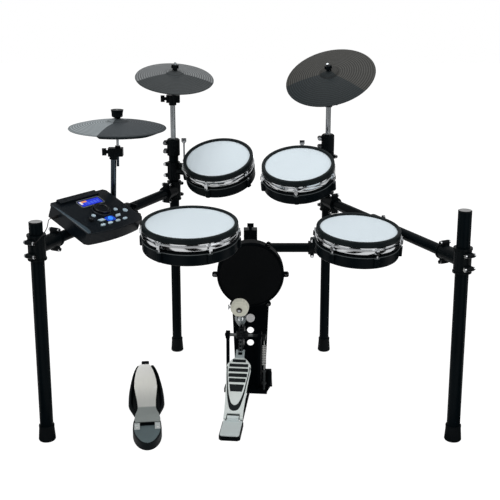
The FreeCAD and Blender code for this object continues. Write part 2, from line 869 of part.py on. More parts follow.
def pad_sensor(pad):
    """Piezo disc under its foam cone, standing on the shell's floor below the head."""
    floor_level = -s.shell_deep + s.shell_wall + s.fit_gap
    foam_foot = -s.head_thick - s.fit_gap - s.sensor_foam
    stand_radius = s.sensor_dia / 2 + 6.0
    return turned([
        (0.0, floor_level),
        (stand_radius, floor_level),
        (stand_radius, floor_level + 4.0),
        (s.sensor_dia / 2, foam_foot),
        (s.sensor_dia / 4, -s.head_thick - s.fit_gap),
        (0.0, -s.head_thick - s.fit_gap),
    ])


def mount_rod(pad, seat, seat_way):
    """Bent rod from a rack clamp to the pad, with the cross barrel that the pad tilts on."""
    start = pad.barrel + pad.out_way * (s.barrel_dia / 2 - 1.0)
    elbow = pad.barrel + pad.out_way * s.mount_rod_out
    radius = s.mount_rod_dia / 2
    pin_end = ear_far + s.ear_gap
    barrel_start = pad.barrel - pad.tilt_way * (s.barrel_long / 2)
    pieces = [rod(s.barrel_dia / 2, s.barrel_long, barrel_start, pad.tilt_way),
              rod(s.tilt_pin_dia / 2, 2 * pin_end, pad.barrel - pad.tilt_way * pin_end, pad.tilt_way)]
    for way in (pad.tilt_way, -pad.tilt_way):
        pieces.append(rod(s.bolt_head_dia / 2, s.bolt_head_tall, pad.barrel + way * pin_end, way))
    reach = elbow - seat
    return fuse(*pieces,
                rod(radius, s.mount_rod_out - s.barrel_dia / 2 + 1.0, start, pad.out_way),
                ball(radius, elbow),
                rod(radius, reach.Length, seat, reach.normalize()))


def pad_mount(pad, post, post_way, tall, lug_offsets):
    """Clamp on a rack tube and the rod that it holds."""
    elbow = pad.barrel + pad.out_way * s.mount_rod_out
    radius = s.upright_dia / 2 + s.clamp_wall
    side = square_to(elbow - post, post_way)
    collar(post, post_way, s.upright_dia, tall, side, s.mount_rod_dia, lug_offsets)
    stub_long = s.boss_long + s.mount_rod_dia
    seat = post + side * (radius + s.fit_gap + stub_long)
    stub = rod(s.mount_rod_dia / 2, stub_long, post + side * (radius + s.fit_gap), side)
    return fuse(stub, ball(s.mount_rod_dia / 2, seat), mount_rod(pad, seat, side))


for pad in PADS:
    node(f"{pad.name}_head", pad_head(pad), pad.place)
    node(f"{pad.name}_hoop", pad_hoop(pad), pad.place)
    node(f"{pad.name}_rim", pad_rim(pad), pad.place)
    node(f"{pad.name}_shell", group(pad_shell(pad), pad_sensor(pad)), pad.place)


def height_bolt(pad):
    """Wing bolt that stands on the elbow of a tom's rod and shows above the hoop."""
    elbow = pad.barrel + pad.out_way * s.mount_rod_out
    seat = elbow + Z * (s.mount_rod_dia / 2 + s.fit_gap)
    tall = pad.place.Base.z + s.height_bolt_over - seat.z
    wing_low = tall - 2.0
    wing = block(s.wing_wide - 6.0, 3.0, s.wing_tall, seat + Z * (wing_low + s.wing_tall / 2))
    head = rod(s.bolt_head_dia / 2, s.bolt_head_tall, seat + Z * (tall - s.bolt_head_tall))
    return fuse(rod(s.bolt_dia / 2, tall, seat), head, wing)


SNARE, FLOOR_TOM, LEFT_TOM, RIGHT_TOM = PADS
ONE_LUG = (0.0,)
TWO_LUGS = (-s.lug_spacing / 2, s.lug_spacing / 2)
left_tom_post = level_with(REAR_LEFT, s.left_tom_clamp_z)
right_tom_post = level_with(REAR_RIGHT, s.right_tom_clamp_z)
node("pad_rods", group(
    pad_mount(SNARE, along_left_arm(s.snare_clamp_along), LEFT_ARM, s.collar_tall, ONE_LUG),
    pad_mount(FLOOR_TOM, along_right_arm(s.floor_tom_clamp_along), RIGHT_ARM, s.collar_tall, ONE_LUG),
    pad_mount(LEFT_TOM, left_tom_post, Z, s.tall_collar, TWO_LUGS),
    pad_mount(RIGHT_TOM, right_tom_post, Z, s.collar_tall, ONE_LUG)))
for pad in (LEFT_TOM, RIGHT_TOM):
    bolts.append(height_bolt(pad))


# Cymbal pads on tilters
class Cymbal:
    """One cymbal pad: centre of its edge circle, stem direction and stand."""

    def __init__(self, name, lean, right_up):
        self.name = name
        self.radius = getattr(s, f"{name}_radius")
        centre = floor_point(getattr(s, f"{name}_x"), getattr(s, f"{name}_y"), getattr(s, f"{name}_z"))
        self.place = Placement(centre, Rotation(X, float(lean)) * Rotation(Y, -right_up))
        self.stem_way = self.place.Rotation.multVec(Z)

    def on_stem(self, height):
        return self.place.multVec(Vector(0, 0, height))


HIHAT = Cymbal("hihat", 0.0, -1.0)
CRASH = Cymbal("crash", s.crash_lean, -4.5)
RIDE = Cymbal("ride", s.ride_lean, 13.8)
CYMBALS = (HIHAT, CRASH, RIDE)
bell_top = s.bow_rise + s.bell_rise


def cymbal_pad(cymbal):
    """Bowed disc with a raised bell and an open underside."""
    hole = s.cymbal_hole / 2
    edge = cymbal.radius
    inner_bell = s.bell_radius - s.cymbal_thick / 2
    return turned([
        (hole, bell_top - s.cymbal_thick),
        (inner_bell, s.bow_rise - s.cymbal_thick, s.bell_arc),
        (edge - 1.0, -s.cymbal_edge, s.bow_arc),
        (edge, -s.cymbal_edge / 2),
        (edge - 1.0, 0.0),
        (s.bell_radius, s.bow_rise, -s.bow_arc),
        (hole, bell_top, -s.bell_arc),
    ])


def cymbal_stem(cymbal):
    """Threaded stem with the seat washer that the bell rests on."""
    seat_top = bell_top - s.cymbal_thick - s.seat_gap
    radius = s.stem_dia / 2
    return put(fuse(rod(radius, s.stem_below + bell_top + s.stem_above, Vector(0, 0, -s.stem_below)),
                    rod(s.seat_dia / 2, s.seat_tall, Vector(0, 0, seat_top - s.seat_tall))), cymbal.place)


def wing_nut(cymbal):
    """Felt washer under a nut with two wings."""
    low = bell_top + s.seat_gap
    radius = s.stem_dia / 2 + s.fit_gap
    wings = [block(24.0, 5.0, 11.0, Vector(0, 0, low + 11.5))]
    solid = fuse(rod(s.seat_dia / 2, 6.0, Vector(0, 0, low)),
                 taper(9.0, 7.0, 11.0, Vector(0, 0, low + 6.0)), *wings)
    return put(cut(solid, rod(radius, 40.0, Vector(0, 0, low - 10.0))), cymbal.place)


def drum_nut(cymbal):
    """Tall flared nut of the hi-hat pad over its felt."""
    low = bell_top + s.seat_gap
    bore = s.stem_dia / 2 + s.fit_gap
    top = low + s.stem_above - s.seat_gap
    return put(turned([
        (bore, low),
        (s.seat_dia / 2, low),
        (16.5, low + 5.0),
        (17.0, low + 16.0),
        (19.0, top),
        (bore, top),
    ]), cymbal.place)


def tilter(cymbal, tube_top, tube_way):
    """Plastic joint between a stand tube's top and the cymbal's stem."""
    tube_radius = s.stand_tube_dia / 2
    stem_spot = cymbal.on_stem(-s.tilter_drop)
    wall = s.clamp_wall - 1.5
    collar_start = tube_top - tube_way * 18.0
    bridge = stem_spot - tube_top
    pieces = [rod(tube_radius + wall, 32.0, collar_start, tube_way),
              rod(s.stem_dia / 2 + wall, 30.0, stem_spot - cymbal.stem_way * 15.0, cymbal.stem_way)]
    if bridge.Length > s.tilter_deep:
        pieces.append(block(bridge.Length, 14.0, 20.0, (tube_top + stem_spot) * 0.5, Rotation(X, bridge)))
    bores = [rod(tube_radius + s.fit_gap, 18.0 + s.fit_gap, collar_start, tube_way),
             rod(s.stem_dia / 2 + s.fit_gap, 60.0, stem_spot - cymbal.stem_way * 30.0, cymbal.stem_way)]
    middle = (tube_top + stem_spot) * 0.5
    pieces.append(block(s.tilter_wide, s.tilter_deep, s.tilter_deep, middle))
    clamps.append(cut(fuse(*pieces), *bores))
    wings.append(wing_screw(middle - X * (s.tilter_wide / 2), -X, Z, 0.0))


hihat_foot = along_left_arm(s.hihat_clamp_along)
hihat_top = floor_point(s.hihat_x - 14.0, s.hihat_y - 4.0, s.hihat_tube_top)
hihat_way = square_to(direction(hihat_foot, hihat_top), LEFT_ARM)
hihat_top = hihat_foot + hihat_way * ((s.hihat_tube_top - s.left_arm_z) / hihat_way.z)
crash_top = level_with(REAR_LEFT, s.crash_tube_top)
ride_top = level_with(REAR_RIGHT, s.ride_tube_top)
upright_bore = s.upright_dia / 2 - s.tube_wall


def stand_tube(start, top):
    return rod(s.stand_tube_dia / 2, (top - start).Length, start, direction(start, top))


def crown_clamp(post, top):
    """Clamp over an upright's end: a bush inside it, a sleeve outside it and two bolted lugs on its left."""
    place = Placement(level_with(post, top), Rotation())
    tube_bore = s.stand_tube_dia / 2 + s.fit_gap
    sleeve_bore = s.upright_dia / 2 + s.fit_gap
    sleeve = s.upright_dia / 2 + s.clamp_wall
    shell = turned([
        (tube_bore, -s.stand_sunk / 2),
        (upright_bore - s.fit_gap, -s.stand_sunk / 2),
        (upright_bore - s.fit_gap, s.fit_gap),
        (sleeve_bore, s.fit_gap),
        (sleeve_bore, -s.crown_skirt),
        (sleeve, -s.crown_skirt),
        (sleeve, s.crown_tall - 4.0),
        (sleeve - 4.0, s.crown_tall),
        (tube_bore, s.crown_tall),
    ])
    lug_depth = s.lug_out + s.clamp_wall
    lug_x = -(sleeve + s.lug_out - lug_depth / 2)
    middle = (s.crown_tall - s.crown_skirt) / 2
    heights = (middle + s.crown_lug_spacing / 2, middle - s.crown_lug_spacing / 2)
    lugs = [bolted_lug(Vector(lug_x, 0, height), -X, Y, lug_depth) for height in heights]
    solid = cut(fuse(shell, *[lug for _, lug in lugs]),
                rod(sleeve_bore, s.crown_skirt + s.fit_gap, Vector(0, 0, -s.crown_skirt)),
                *[bolt_bore(spot, Y) for spot, _ in lugs])
    clamps.append(put(solid, place))
    for spot, _ in lugs:
        bolts.append(bolt_through(place.multVec(spot), Y, s.lug_wide))


hihat_clear = s.upright_dia / 2 + s.clamp_wall + s.fit_gap
stand_parts = [
    stand_tube(hihat_foot + hihat_way * hihat_clear, hihat_top),
    stand_tube(level_with(REAR_LEFT, s.left_upright_top - s.stand_sunk), crash_top),
    stand_tube(level_with(REAR_RIGHT, s.right_upright_top - s.stand_sunk), ride_top),
]
stand_parts += [cymbal_stem(cymbal) for cymbal in CYMBALS]
node("cymbal_nuts", group(drum_nut(HIHAT), wing_nut(CRASH), wing_nut(RIDE)))
for cymbal in CYMBALS:
    node(f"{cymbal.name}_cymbal", cymbal_pad(cymbal), cymbal.place)
tilter(HIHAT, hihat_top, hihat_way)
tilter(CRASH, crash_top, Z)
tilter(RIDE, ride_top, Z)
crown_clamp(REAR_LEFT, s.left_upright_top)
crown_clamp(REAR_RIGHT, s.right_upright_top)
collar(hihat_foot, LEFT_ARM, s.upright_dia, s.collar_tall, hihat_way, s.stand_tube_dia)

# Kick pad on its tower, tied back to the cross tube by a brace rod
KICK_X = 1.6
kick_place = Placement(floor_point(KICK_X, s.kick_face_y, s.kick_z), Rotation(Z, -Y))
tower_back = s.kick_face_y + s.kick_deep + s.tower_thick
KICK_LUGS = 6
kick_lug_radius = s.kick_radius + s.kick_lug_out
kick_lug_thick = 10.0


def kick_shell():
    """Shallow drum with a seat for its head and six bolted ears."""
    seat = s.kick_radius - s.kick_rim + s.fit_gap
    body = turned([
        (0.0, -s.kick_deep),
        (s.kick_radius, -s.kick_deep),
        (s.kick_radius, -3.0),
        (s.kick_radius - 3.0, 0.0, 3.0),
        (seat, 0.0),
        (seat, -s.kick_head_thick),
        (0.0, -s.kick_head_thick),
    ][::-1])
    out = kick_lug_radius + 8.0
    ear = add_pad(body, [(s.kick_radius - 3.0, -8.0), (out - 4.0, -8.0), (out, -4.0), (out, 4.0),
                         (out - 4.0, 8.0), (s.kick_radius - 3.0, 8.0)],
                  kick_lug_thick, -4.0 - kick_lug_thick,
                  holes=[(kick_lug_radius, 0.0, s.bolt_dia / 2 + s.fit_gap)])
    around(body, [ear], KICK_LUGS)
    return body


def kick_head():
    """Striking surface of the kick pad, a little domed at the edge."""
    radius = s.kick_radius - s.kick_rim
    return turned([
        (0.0, -s.kick_head_thick),
        (radius, -s.kick_head_thick),
        (radius, 0.0),
        (radius - 2.0, 0.8),
        (0.0, 0.8),
    ])


def kick_tower():
    """Upright plate with three holes, its floor plate and two gussets."""
    tower_holes = [(0.0, height, s.tower_hole_dia / 2) for height in TOWER_HOLES]
    upright = plate(mirrored([
        (s.tower_foot_wide / 2, 0.0),
        (s.tower_top_wide / 2, s.kick_z - 70.0),
        (s.tower_top_wide / 2, s.tower_top - 40.0),
        (s.tower_top_wide / 2 - 24.0, s.tower_top),
    ]), s.tower_thick, holes=tower_holes, plane="XZ_Plane")
    upright.Placement = Placement(Vector(0, tower_back, 0), Rotation())
    front = tower_back - s.kick_deep - s.tower_thick - s.tower_flange
    pieces = [upright, block(s.tower_base_wide, s.tower_base_long, s.tower_thick,
                             Vector(0, front + s.tower_base_long / 2, s.tower_thick / 2))]
    for side in (-1, 1):
        gusset = plate([(-s.tower_thick / 2, 0.0), (58.0, 0.0), (58.0, 8.0), (12.0, 190.0),
                        (-s.tower_thick / 2, 190.0)], s.tower_thick, plane="YZ_Plane")
        offset = side * (s.tower_foot_wide / 2 - 8.0) - s.tower_thick / 2
        pieces.append(put(gusset, Placement(Vector(offset, tower_back, 0), Rotation())))
    return fuse(*pieces)


TOWER_HOLES = (s.kick_z - 158.0, s.kick_z - 201.0, s.kick_z - 244.0)
node("kick_shell", kick_shell(), kick_place)
node("kick_head", kick_head(), kick_place)
node("kick_tower", kick_tower(), Placement(floor_point(KICK_X, 0.0), Rotation()))
for index in range(KICK_LUGS):
    angle = math.tau * index / KICK_LUGS
    way = Vector(math.cos(angle), math.sin(angle), 0)
    spot = way * kick_lug_radius - Z * (4.0 + kick_lug_thick / 2)
    bolts.append(bolt_through(kick_place.multVec(spot), Y, kick_lug_thick))
disc_spot = floor_point(KICK_X, tower_back, TOWER_HOLES[0])
bolts.append(fuse(rod(s.tower_hole_dia / 2 - s.fit_gap, s.tower_thick, disc_spot, -Y),
                  rod(s.tower_hole_dia / 2 + 3.0, 3.0, disc_spot - Y * s.tower_thick, -Y)))

brace_spot = level_with(floor_point(KICK_X, s.rack_depth), s.cross_z)
block_deep = s.upright_dia + s.clamp_wall
block_tall = s.brace_block_top - s.cross_z
brace_end = floor_point(KICK_X, tower_back + 2.0, s.kick_z + 34.0)
brace_start = brace_spot + Vector(0, -2.0, block_tall * 0.66)
brace_way = direction(brace_start, brace_end)
brace_block = fuse(
    rod(s.upright_dia / 2 + s.clamp_wall, s.brace_block_wide, brace_spot - X * (s.brace_block_wide / 2), X),
    block(s.brace_block_wide, block_deep, block_tall, brace_spot + Z * (block_tall / 2)))
clamps.append(cut(
    brace_block,
    rod(s.upright_dia / 2 + s.fit_gap, s.brace_block_wide, brace_spot - X * (s.brace_block_wide / 2), X),
    rod(s.brace_dia / 2 + s.fit_gap, 60.0, brace_start - brace_way * s.fit_gap, brace_way)))
brace_rod = fuse(rod(s.brace_dia / 2, (brace_end - brace_start).Length, brace_start, brace_way),
                 rod(s.brace_dia + 2.0, 4.0, floor_point(KICK_X, tower_back, s.kick_z + 34.0), Y))
stand_parts.append(brace_rod)
wings.append(wing_screw(brace_spot + Z * block_tall, Z, X, 0.0))


# Kick pedal
slope = math.radians(s.board_slope)
chain_y = s.hinge_y + s.board_long * math.cos(slope)
toe_z = s.hinge_z + s.board_long * math.sin(slope)
axle_y = chain_y + s.cam_radius + s.chain_gap + s.roller_dia / 2
axle_z = toe_z + s.chain_pitch * s.chain_links - s.chain_sink
spring_foot_z = axle_z - s.spring_drop
pedal_turn = Rotation(Z, float(s.pedal_turn))
axle_spot = floor_point(s.axle_x, s.kick_face_y - s.axle_to_kick)
pedal = Placement(axle_spot - pedal_turn.multVec(Y * axle_y), pedal_turn)
tongue_half = s.tongue_wide / 2
notch_half = tongue_half + s.tongue_gap
AXLE = Vector(0, axle_y, axle_z)
beater_way = Rotation(X, float(s.beater_lean)).multVec(Z)
spring_y = axle_y - s.spring_arm


def pivot_lugs(near, far, y, z, pin_dia, radius):
    """Pair of standing lugs with a bore for a pin along x."""
    pieces = []
    bores = []
    for low in (near, -far):
        pieces.append(block(far - near, 2 * radius, z, Vector(low + (far - near) / 2, y, z / 2)))
        pieces.append(rod(radius, far - near, Vector(low, y, z), X))
        bores.append(rod(pin_dia / 2 + s.running_gap, far - near, Vector(low, y, z), X))
    return pieces, bores


def pedal_base():
    """Heel base, two rails, cross bar with both axle posts, jaw on the tower's floor plate, and its knob."""
    half = s.heel_wide / 2 + 3.0
    heel = plate(mirrored([(half - 7.0, 0.0), (half, 7.0), (half, s.heel_long + 2.0)]), s.heel_base_tall)
    bores = []
    bar_y = axle_y - 8.0
    bar_left = s.post_left_x - 10.0
    bar_right = s.spring_x + 9.0
    bar = block(bar_right - bar_left, s.base_bar_deep, s.base_bar_tall,
                Vector((bar_left + bar_right) / 2, bar_y, s.base_bar_tall / 2))
    pieces = [heel, bar]
    for x in (-s.rail_gap / 2, s.rail_gap / 2):
        start = s.heel_long - 4.0
        pieces.append(block(s.rail_wide, bar_y - start, 8.0, Vector(x, (bar_y + start) / 2, 4.0)))
    for x in (s.post_left_x, s.post_right_x):
        pieces.append(block(s.post_thick, s.post_deep, axle_z - 4.0, Vector(x, axle_y, axle_z / 2 + 2.0)))
        pieces.append(rod(s.bearing_dia / 2, s.post_thick + 3.0, AXLE + X * (x - s.post_thick / 2 - 1.5), X))
        bores.append(rod(s.axle_dia / 2 + s.running_gap, 40.0, AXLE + X * (x - 20.0), X))
    jaw_low = s.tower_thick + 0.3
    jaw_high = s.base_bar_tall + 4.0
    pieces.append(block(40.0, 34.0, jaw_high - jaw_low, Vector(6.0, bar_y + 27.0, (jaw_low + jaw_high) / 2)))
    knob = Vector(s.spring_x + 14.0, bar_y, 32.0)
    arm_thick = 14.0
    arm = plate([
        (bar_right - 16.0, 0.0),
        (bar_right - 2.0, 0.0),
        (knob.x + 7.0, knob.z - 8.0),
        (knob.x + 7.0, knob.z + 2.0),
        (knob.x - 6.0, knob.z + 2.0),
        (bar_right - 16.0, s.base_bar_tall),
    ], arm_thick, plane="XZ_Plane")
    pieces.append(put(arm, Placement(Y * (bar_y + arm_thick / 2), Rotation())))
    pieces += [rod(s.knob_dia / 2, s.knob_tall, knob), ball(s.knob_dia / 2, knob + Z * s.knob_tall)]
    return cut(fuse(*pieces), *bores)


def heel_plate():
    """Heel plate, with the tongue whose knuckle carries the footboard's pin."""
    half = s.heel_wide / 2
    knuckle = s.knuckle_dia / 2
    back = s.hinge_y - knuckle - s.tongue_gap
    outline = mirrored([(half - 5.0, 2.0), (half, 7.0), (half, back)])
    sheet_metal = plate(outline, s.heel_plate_thick, s.heel_base_tall)
    rise = s.hinge_z - s.heel_base_tall
    tongue_long = s.hinge_y - back + 6.0
    tongue = block(s.tongue_wide, tongue_long, rise,
                   Vector(0, s.hinge_y - tongue_long / 2, s.heel_base_tall + rise / 2))
    pin_end = Vector(-tongue_half, s.hinge_y, s.hinge_z)
    barrel = rod(knuckle, s.tongue_wide, pin_end, X)
    bore = rod(s.hinge_pin_dia / 2 + s.running_gap, s.tongue_wide, pin_end, X)
    return cut(fuse(sheet_metal, tongue, barrel), bore)


def footboard():
    """Waisted board, notched round the heel's tongue with a pin across, forked at the toe for the chain."""
    knuckle = s.knuckle_dia / 2
    board = plate(mirrored([
        (notch_half, s.notch_deep),
        (notch_half, 0.0),
        (s.board_heel / 2, 0.0),
        (s.board_heel / 2, 24.0),
        (s.board_waist / 2, 110.0),
        (s.board_wide / 2, s.board_long - 70.0),
        (s.board_wide / 2 - 6.0, s.board_long - 52.0),
        (s.neck_wide / 2, s.board_long - 32.0),
        (s.neck_wide / 2, s.board_long + 6.0),
        (s.chain_wide / 2 + 1.5, s.board_long + 6.0),
        (s.chain_wide / 2 + 1.5, s.board_long - 14.0),
    ]), s.board_thick, -s.board_thick / 2)
    knuckles = [rod(knuckle, s.board_heel / 2 - notch_half, X * start, X)
                for start in (notch_half, -s.board_heel / 2)]
    pin = rod(s.hinge_pin_dia / 2, s.board_heel, X * (-s.board_heel / 2), X)
    toe_pin = rod(2.0, s.neck_wide, Vector(-s.neck_wide / 2, s.board_long, 0), X)
    return fuse(board, pin, toe_pin, *knuckles)


def cam_axle():
    """Axle with its hub, cam, wrapped chain rollers, beater socket and spring lever."""
    radius = s.axle_dia / 2
    left = s.post_left_x - 9.0
    right = s.spring_x + s.lever_thick / 2
    pieces = [rod(radius, right - left, Vector(left, 0, 0), X),
              rod(s.hub_dia / 2, 36.0, X * -18.0, X),
              rod(s.cam_radius, s.cam_thick, X * (-s.cam_thick / 2), X)]
    pieces.append(block(17.0, 16.0, 22.0, beater_way * 21.0, Rotation(X, float(s.beater_lean))))
    wrap = s.cam_radius + s.roller_dia / 2 - 0.5
    for index in range(1, 7):
        angle = math.pi - index * s.chain_pitch / wrap
        spot = Vector(-s.chain_wide / 2, wrap * math.cos(angle), wrap * math.sin(angle))
        pieces.append(rod(s.roller_dia / 2, s.chain_wide, spot, X))
    pieces.append(block(s.lever_thick, s.spring_arm + 12.0, 10.0, Vector(s.spring_x, -s.spring_arm / 2, 0)))
    bore = rod(s.beater_shaft_dia / 2 + s.fit_gap, 40.0, beater_way * 14.0, beater_way)
    return cut(fuse(*pieces), bore)


def drive_chain():
    """Free run of roller chain from the footboard's toe pin up to the cam."""
    links = []
    half = s.chain_wide / 2
    rise = s.chain_pitch * s.chain_links
    for index in range(DRIVING["chain_links"] + 1):
        spot = Vector(2.0 - half, 0, index * s.chain_pitch)
        links.append(rod(s.roller_dia / 2, s.chain_wide - 4.0, spot, X))
    for low in (-half, half - 2.0):
        links.append(block(2.0, s.roller_dia - 2.0, rise, Vector(low + 1.0, 0, rise / 2)))
    links.append(block(s.chain_wide, 2.5, rise, Vector(0, 0, rise / 2)))
    return cut(fuse(*links), rod(2.0 + s.running_gap, s.chain_wide, Vector(-half, 0, 0), X))


def beater_head():
    """Felt cylinder with a socket for its shaft."""
    axis = felt_turn.multVec(Y)
    felt = fuse(rod(s.beater_dia / 2 - 2.0, s.beater_long, axis * (-s.beater_long / 2), axis),
                rod(s.beater_dia / 2, s.beater_long - 4.0, axis * (2.0 - s.beater_long / 2), axis))
    socket = rod(s.beater_shaft_dia / 2 + s.fit_gap, s.beater_dia, beater_way * -s.beater_dia, beater_way)
    return cut(felt, socket)


def beater_shaft():
    """Shaft, with the nut and washer on the felt's near face and the wing at its side."""
    rear = felt_turn.multVec(-Y)
    face = rear * (s.beater_long / 2)
    shaft = rod(s.beater_shaft_dia / 2, s.beater_shaft_long - 15.0 - s.fit_gap,
                beater_way * (15.0 - s.beater_shaft_long), beater_way)
    yoke = plate(mirrored([
        (5.0, -80.0),
        (10.0, -72.0),
        (17.0, -52.0),
        (17.0, -40.0),
        (10.0, -38.0),
        (7.0, -54.0),
    ]), s.yoke_deep, plane="XZ_Plane")
    lean = Rotation(X, float(s.beater_lean))
    yoke.Placement = Placement(lean.multVec(Y * (s.yoke_deep / 2)), lean)
    nut = fuse(rod(9.0, 1.6, face, rear), rod(5.5, 5.0, face, rear))
    wing = fuse(rod(3.0, 5.0, X * (-s.beater_dia / 2), -X),
                block(3.0, 9.0, 13.0, Vector(-s.beater_dia / 2 - 6.0, 0, 0)))
    return group(fuse(shaft, yoke), nut, wing)


def tangent_arc(start, way, end):
    """Arc from a point along a direction to another point."""
    chord = end - start
    unit = Vector(chord).normalize()
    lean = way.getAngle(unit)
    if lean < 1e-6:
        return Part.LineSegment(start, end).toShape()
    side = (way - unit * way.dot(unit)).normalize()
    middle = (start + end) * 0.5 + side * (chord.Length / 2 * math.tan(lean / 2))
    return Part.Arc(start, middle, end).toShape()


def two_arcs(start, way_out, end, way_in):
    """Pair of arcs that leaves and arrives along the given directions."""
    gap = end - start
    both = way_out + way_in
    spread = 2 * (1 - way_out.dot(way_in))
    along = gap.dot(both)
    if spread < 1e-9:
        reach = gap.dot(gap) / (2 * along)
    else:
        reach = (math.sqrt(along * along + spread * gap.dot(gap)) - along) / spread
    middle = (start + end + (way_out - way_in) * reach) * 0.5
    turned_way = (middle - start - way_out * reach).normalize()
    return [tangent_arc(start, way_out, middle), tangent_arc(middle, turned_way, end)]


def swept(edges, radius, start, way):
    """Round wire along a chain of edges that leaves its start along a direction."""
    ring = Part.Wire(Part.makeCircle(radius, start, way))
    made = doc.addObject("Part::Feature", "wire")
    made.Shape = Part.Wire(edges).makePipeShell([ring], True, False)
    return made


def return_spring():
    """Coil between the adjuster and the lever, with a straight lead on its axis at each end."""
    radius = float(s.spring_radius)
    pitch = float(s.spring_pitch)
    turns = DRIVING["spring_turns"]
    lead = 2 * float(s.spring_wire_dia)
    low = float(spring_foot_z) + lead + 9.0
    rise = Vector(0, 0, pitch / math.tau)

    def coil(angle):
        return Vector(radius * math.cos(angle), radius * math.sin(angle), low + pitch * angle / math.tau)

    def coil_way(angle):
        return (Vector(-radius * math.sin(angle), radius * math.cos(angle), 0) + rise).normalize()

    foot = Vector(0, 0, spring_foot_z)
    hook_top = Vector(0, 0, axle_z - 5.0 - s.fit_gap)
    edges = [Part.LineSegment(foot, foot + Z * lead).toShape()]
    edges += two_arcs(foot + Z * lead, Z, coil(0.0), coil_way(0.0))
    for half_turn in range(2 * turns):
        start, end = half_turn * math.pi, (half_turn + 1) * math.pi
        edges += two_arcs(coil(start), coil_way(start), coil(end), coil_way(end))
    last = turns * math.tau
    lead_top = Vector(0, 0, coil(last).z + 12.0)
    edges += two_arcs(coil(last), coil_way(last), lead_top, Z)
    edges.append(Part.LineSegment(lead_top, hook_top).toShape())
    return swept(edges, s.spring_wire_dia / 2, foot, Z)


felt_turn = Rotation(X, float(s.beater_lean - s.beater_nod))
beater_place = pedal * Placement(AXLE + beater_way * s.beater_shaft_long, Rotation())
node("pedal_base", pedal_base(), pedal)
node("heel_plate", heel_plate(), pedal)
board_place = Placement(Vector(0, s.hinge_y, s.hinge_z), Rotation(X, float(s.board_slope)))
node("footboard", footboard(), pedal * board_place)
node("cam_axle", cam_axle(), pedal * Placement(AXLE, Rotation()))
node("beater_shaft", beater_shaft(), beater_place)
node("beater_head", beater_head(), beater_place)
node("drive_chain", drive_chain(), pedal * Placement(Vector(0, chain_y, toe_z), Rotation()))
node("return_spring", return_spring(), pedal * Placement(Vector(s.spring_x, spring_y, 0), Rotation()))
adjuster_foot = pedal.multVec(Vector(s.spring_x, spring_y, s.base_bar_tall))
bolts.append(fuse(rod(3.5, spring_foot_z - s.base_bar_tall, adjuster_foot),
                  rod(7.0, 6.0, adjuster_foot + Z * 20.0),
                  rod(6.0, 5.0, adjuster_foot + Z * (spring_foot_z - s.base_bar_tall - 5.0))))


# Hi-hat control pedal
plate_reach = s.control_long - s.toe_wall - s.plate_toe_gap - s.control_hinge_y
plate_long = plate_reach / math.cos(math.radians(s.plate_slope))
control = Placement(floor_point(s.control_x, s.control_y), Rotation(Z, float(s.control_turn)))
plate_lug_near = s.plate_waist / 2 + 0.5
plate_lug_far = plate_lug_near + 8.0


def control_base():
    """Wedge-shaped base: round heel, wide waist and narrow toe, with the footplate's hinge lugs."""
    heel = s.control_heel_wide / 2
    wide = s.control_wide / 2
    toe = s.control_toe_wide / 2
    right_side = [
        (heel - 4.0, 110.0),
        (wide, 150.0),
        (wide, 215.0),
        (toe + 13.0, 300.0),
        (toe, s.control_long),
    ]
    left_side = [(-x, y) for x, y in reversed(right_side)]
    top_view = plate([(-heel, 40.0), (heel, 40.0, -(heel + 0.5))] + right_side + left_side, 110.0)
    side_view = plate([
        (-10.0, 0.0),
        (s.control_long + 5.0, 0.0),
        (s.control_long + 5.0, s.control_toe_tall + 24.0),
        (s.control_long - s.toe_wall, s.control_toe_tall + 26.0),
        (s.control_long - s.toe_wall, s.control_toe_tall),
        (s.control_hinge_y + 20.0, s.control_heel_tall),
        (s.control_hinge_y + 14.0, s.control_heel_tall - 12.0),
        (s.control_hinge_y - 12.0, s.control_heel_tall - 12.0),
        (s.control_hinge_y - 14.0, s.control_heel_tall),
        (24.0, s.control_heel_tall),
        (-10.0, s.control_heel_tall - 8.0),
    ], s.control_wide + 20.0, plane="YZ_Plane")
    side_view.Placement = Placement(X * (-s.control_wide / 2 - 10.0), Rotation())
    wedge = doc.addObject("Part::MultiCommon", "wedge")
    wedge.Shapes = [top_view, side_view]
    lugs, bores = pivot_lugs(plate_lug_near, plate_lug_far, s.control_hinge_y, s.control_hinge_z,
                             s.control_pin_dia, s.hinge_lug_radius)
    bumper = rod(9.0, 50.0, Vector(0, s.control_hinge_y + 180.0, 16.0))
    return cut(fuse(wedge, bumper, *lugs), *bores)


def control_plate():
    """Steel footplate on its hinge pin: waisted at the hinge, widest at mid length."""
    board = plate(mirrored([
        (s.plate_waist / 2, -4.0),
        (s.plate_waist / 2, 32.0),
        (s.plate_wide / 2, 105.0),
        (s.plate_wide / 2, 135.0),
        (s.plate_toe / 2, plate_long - 8.0),
        (s.plate_toe / 2 - 6.0, plate_long),
    ]), s.plate_thick, -s.plate_thick / 2)
    knuckle = rod(5.5, s.plate_waist, X * (-s.plate_waist / 2), X)
    pin = rod(s.control_pin_dia / 2, 2 * plate_lug_far, X * -plate_lug_far, X)
    return fuse(board, knuckle, pin)


node("hihat_pedal_base", control_base(), control)
node("hihat_footplate", control_plate(),
     control * Placement(Vector(0, s.control_hinge_y, s.control_hinge_z), Rotation(X, float(s.plate_slope))))


# Sound module
module = Placement(floor_point(s.module_x, s.module_y, s.module_z),
                   Rotation(Z, float(s.module_turn)) * Rotation(X, float(s.module_slope)))


def module_outline(inset=0.0):
    """Plan of the module: cut corners and a front edge that bows towards the player."""
    half = s.module_wide / 2 - inset
    deep = s.module_deep / 2 - inset
    corner = s.module_corner
    return mirrored([(half - corner, -deep, -s.module_bow), (half, -deep + corner), (half, deep - corner),
                     (half - corner, deep)])


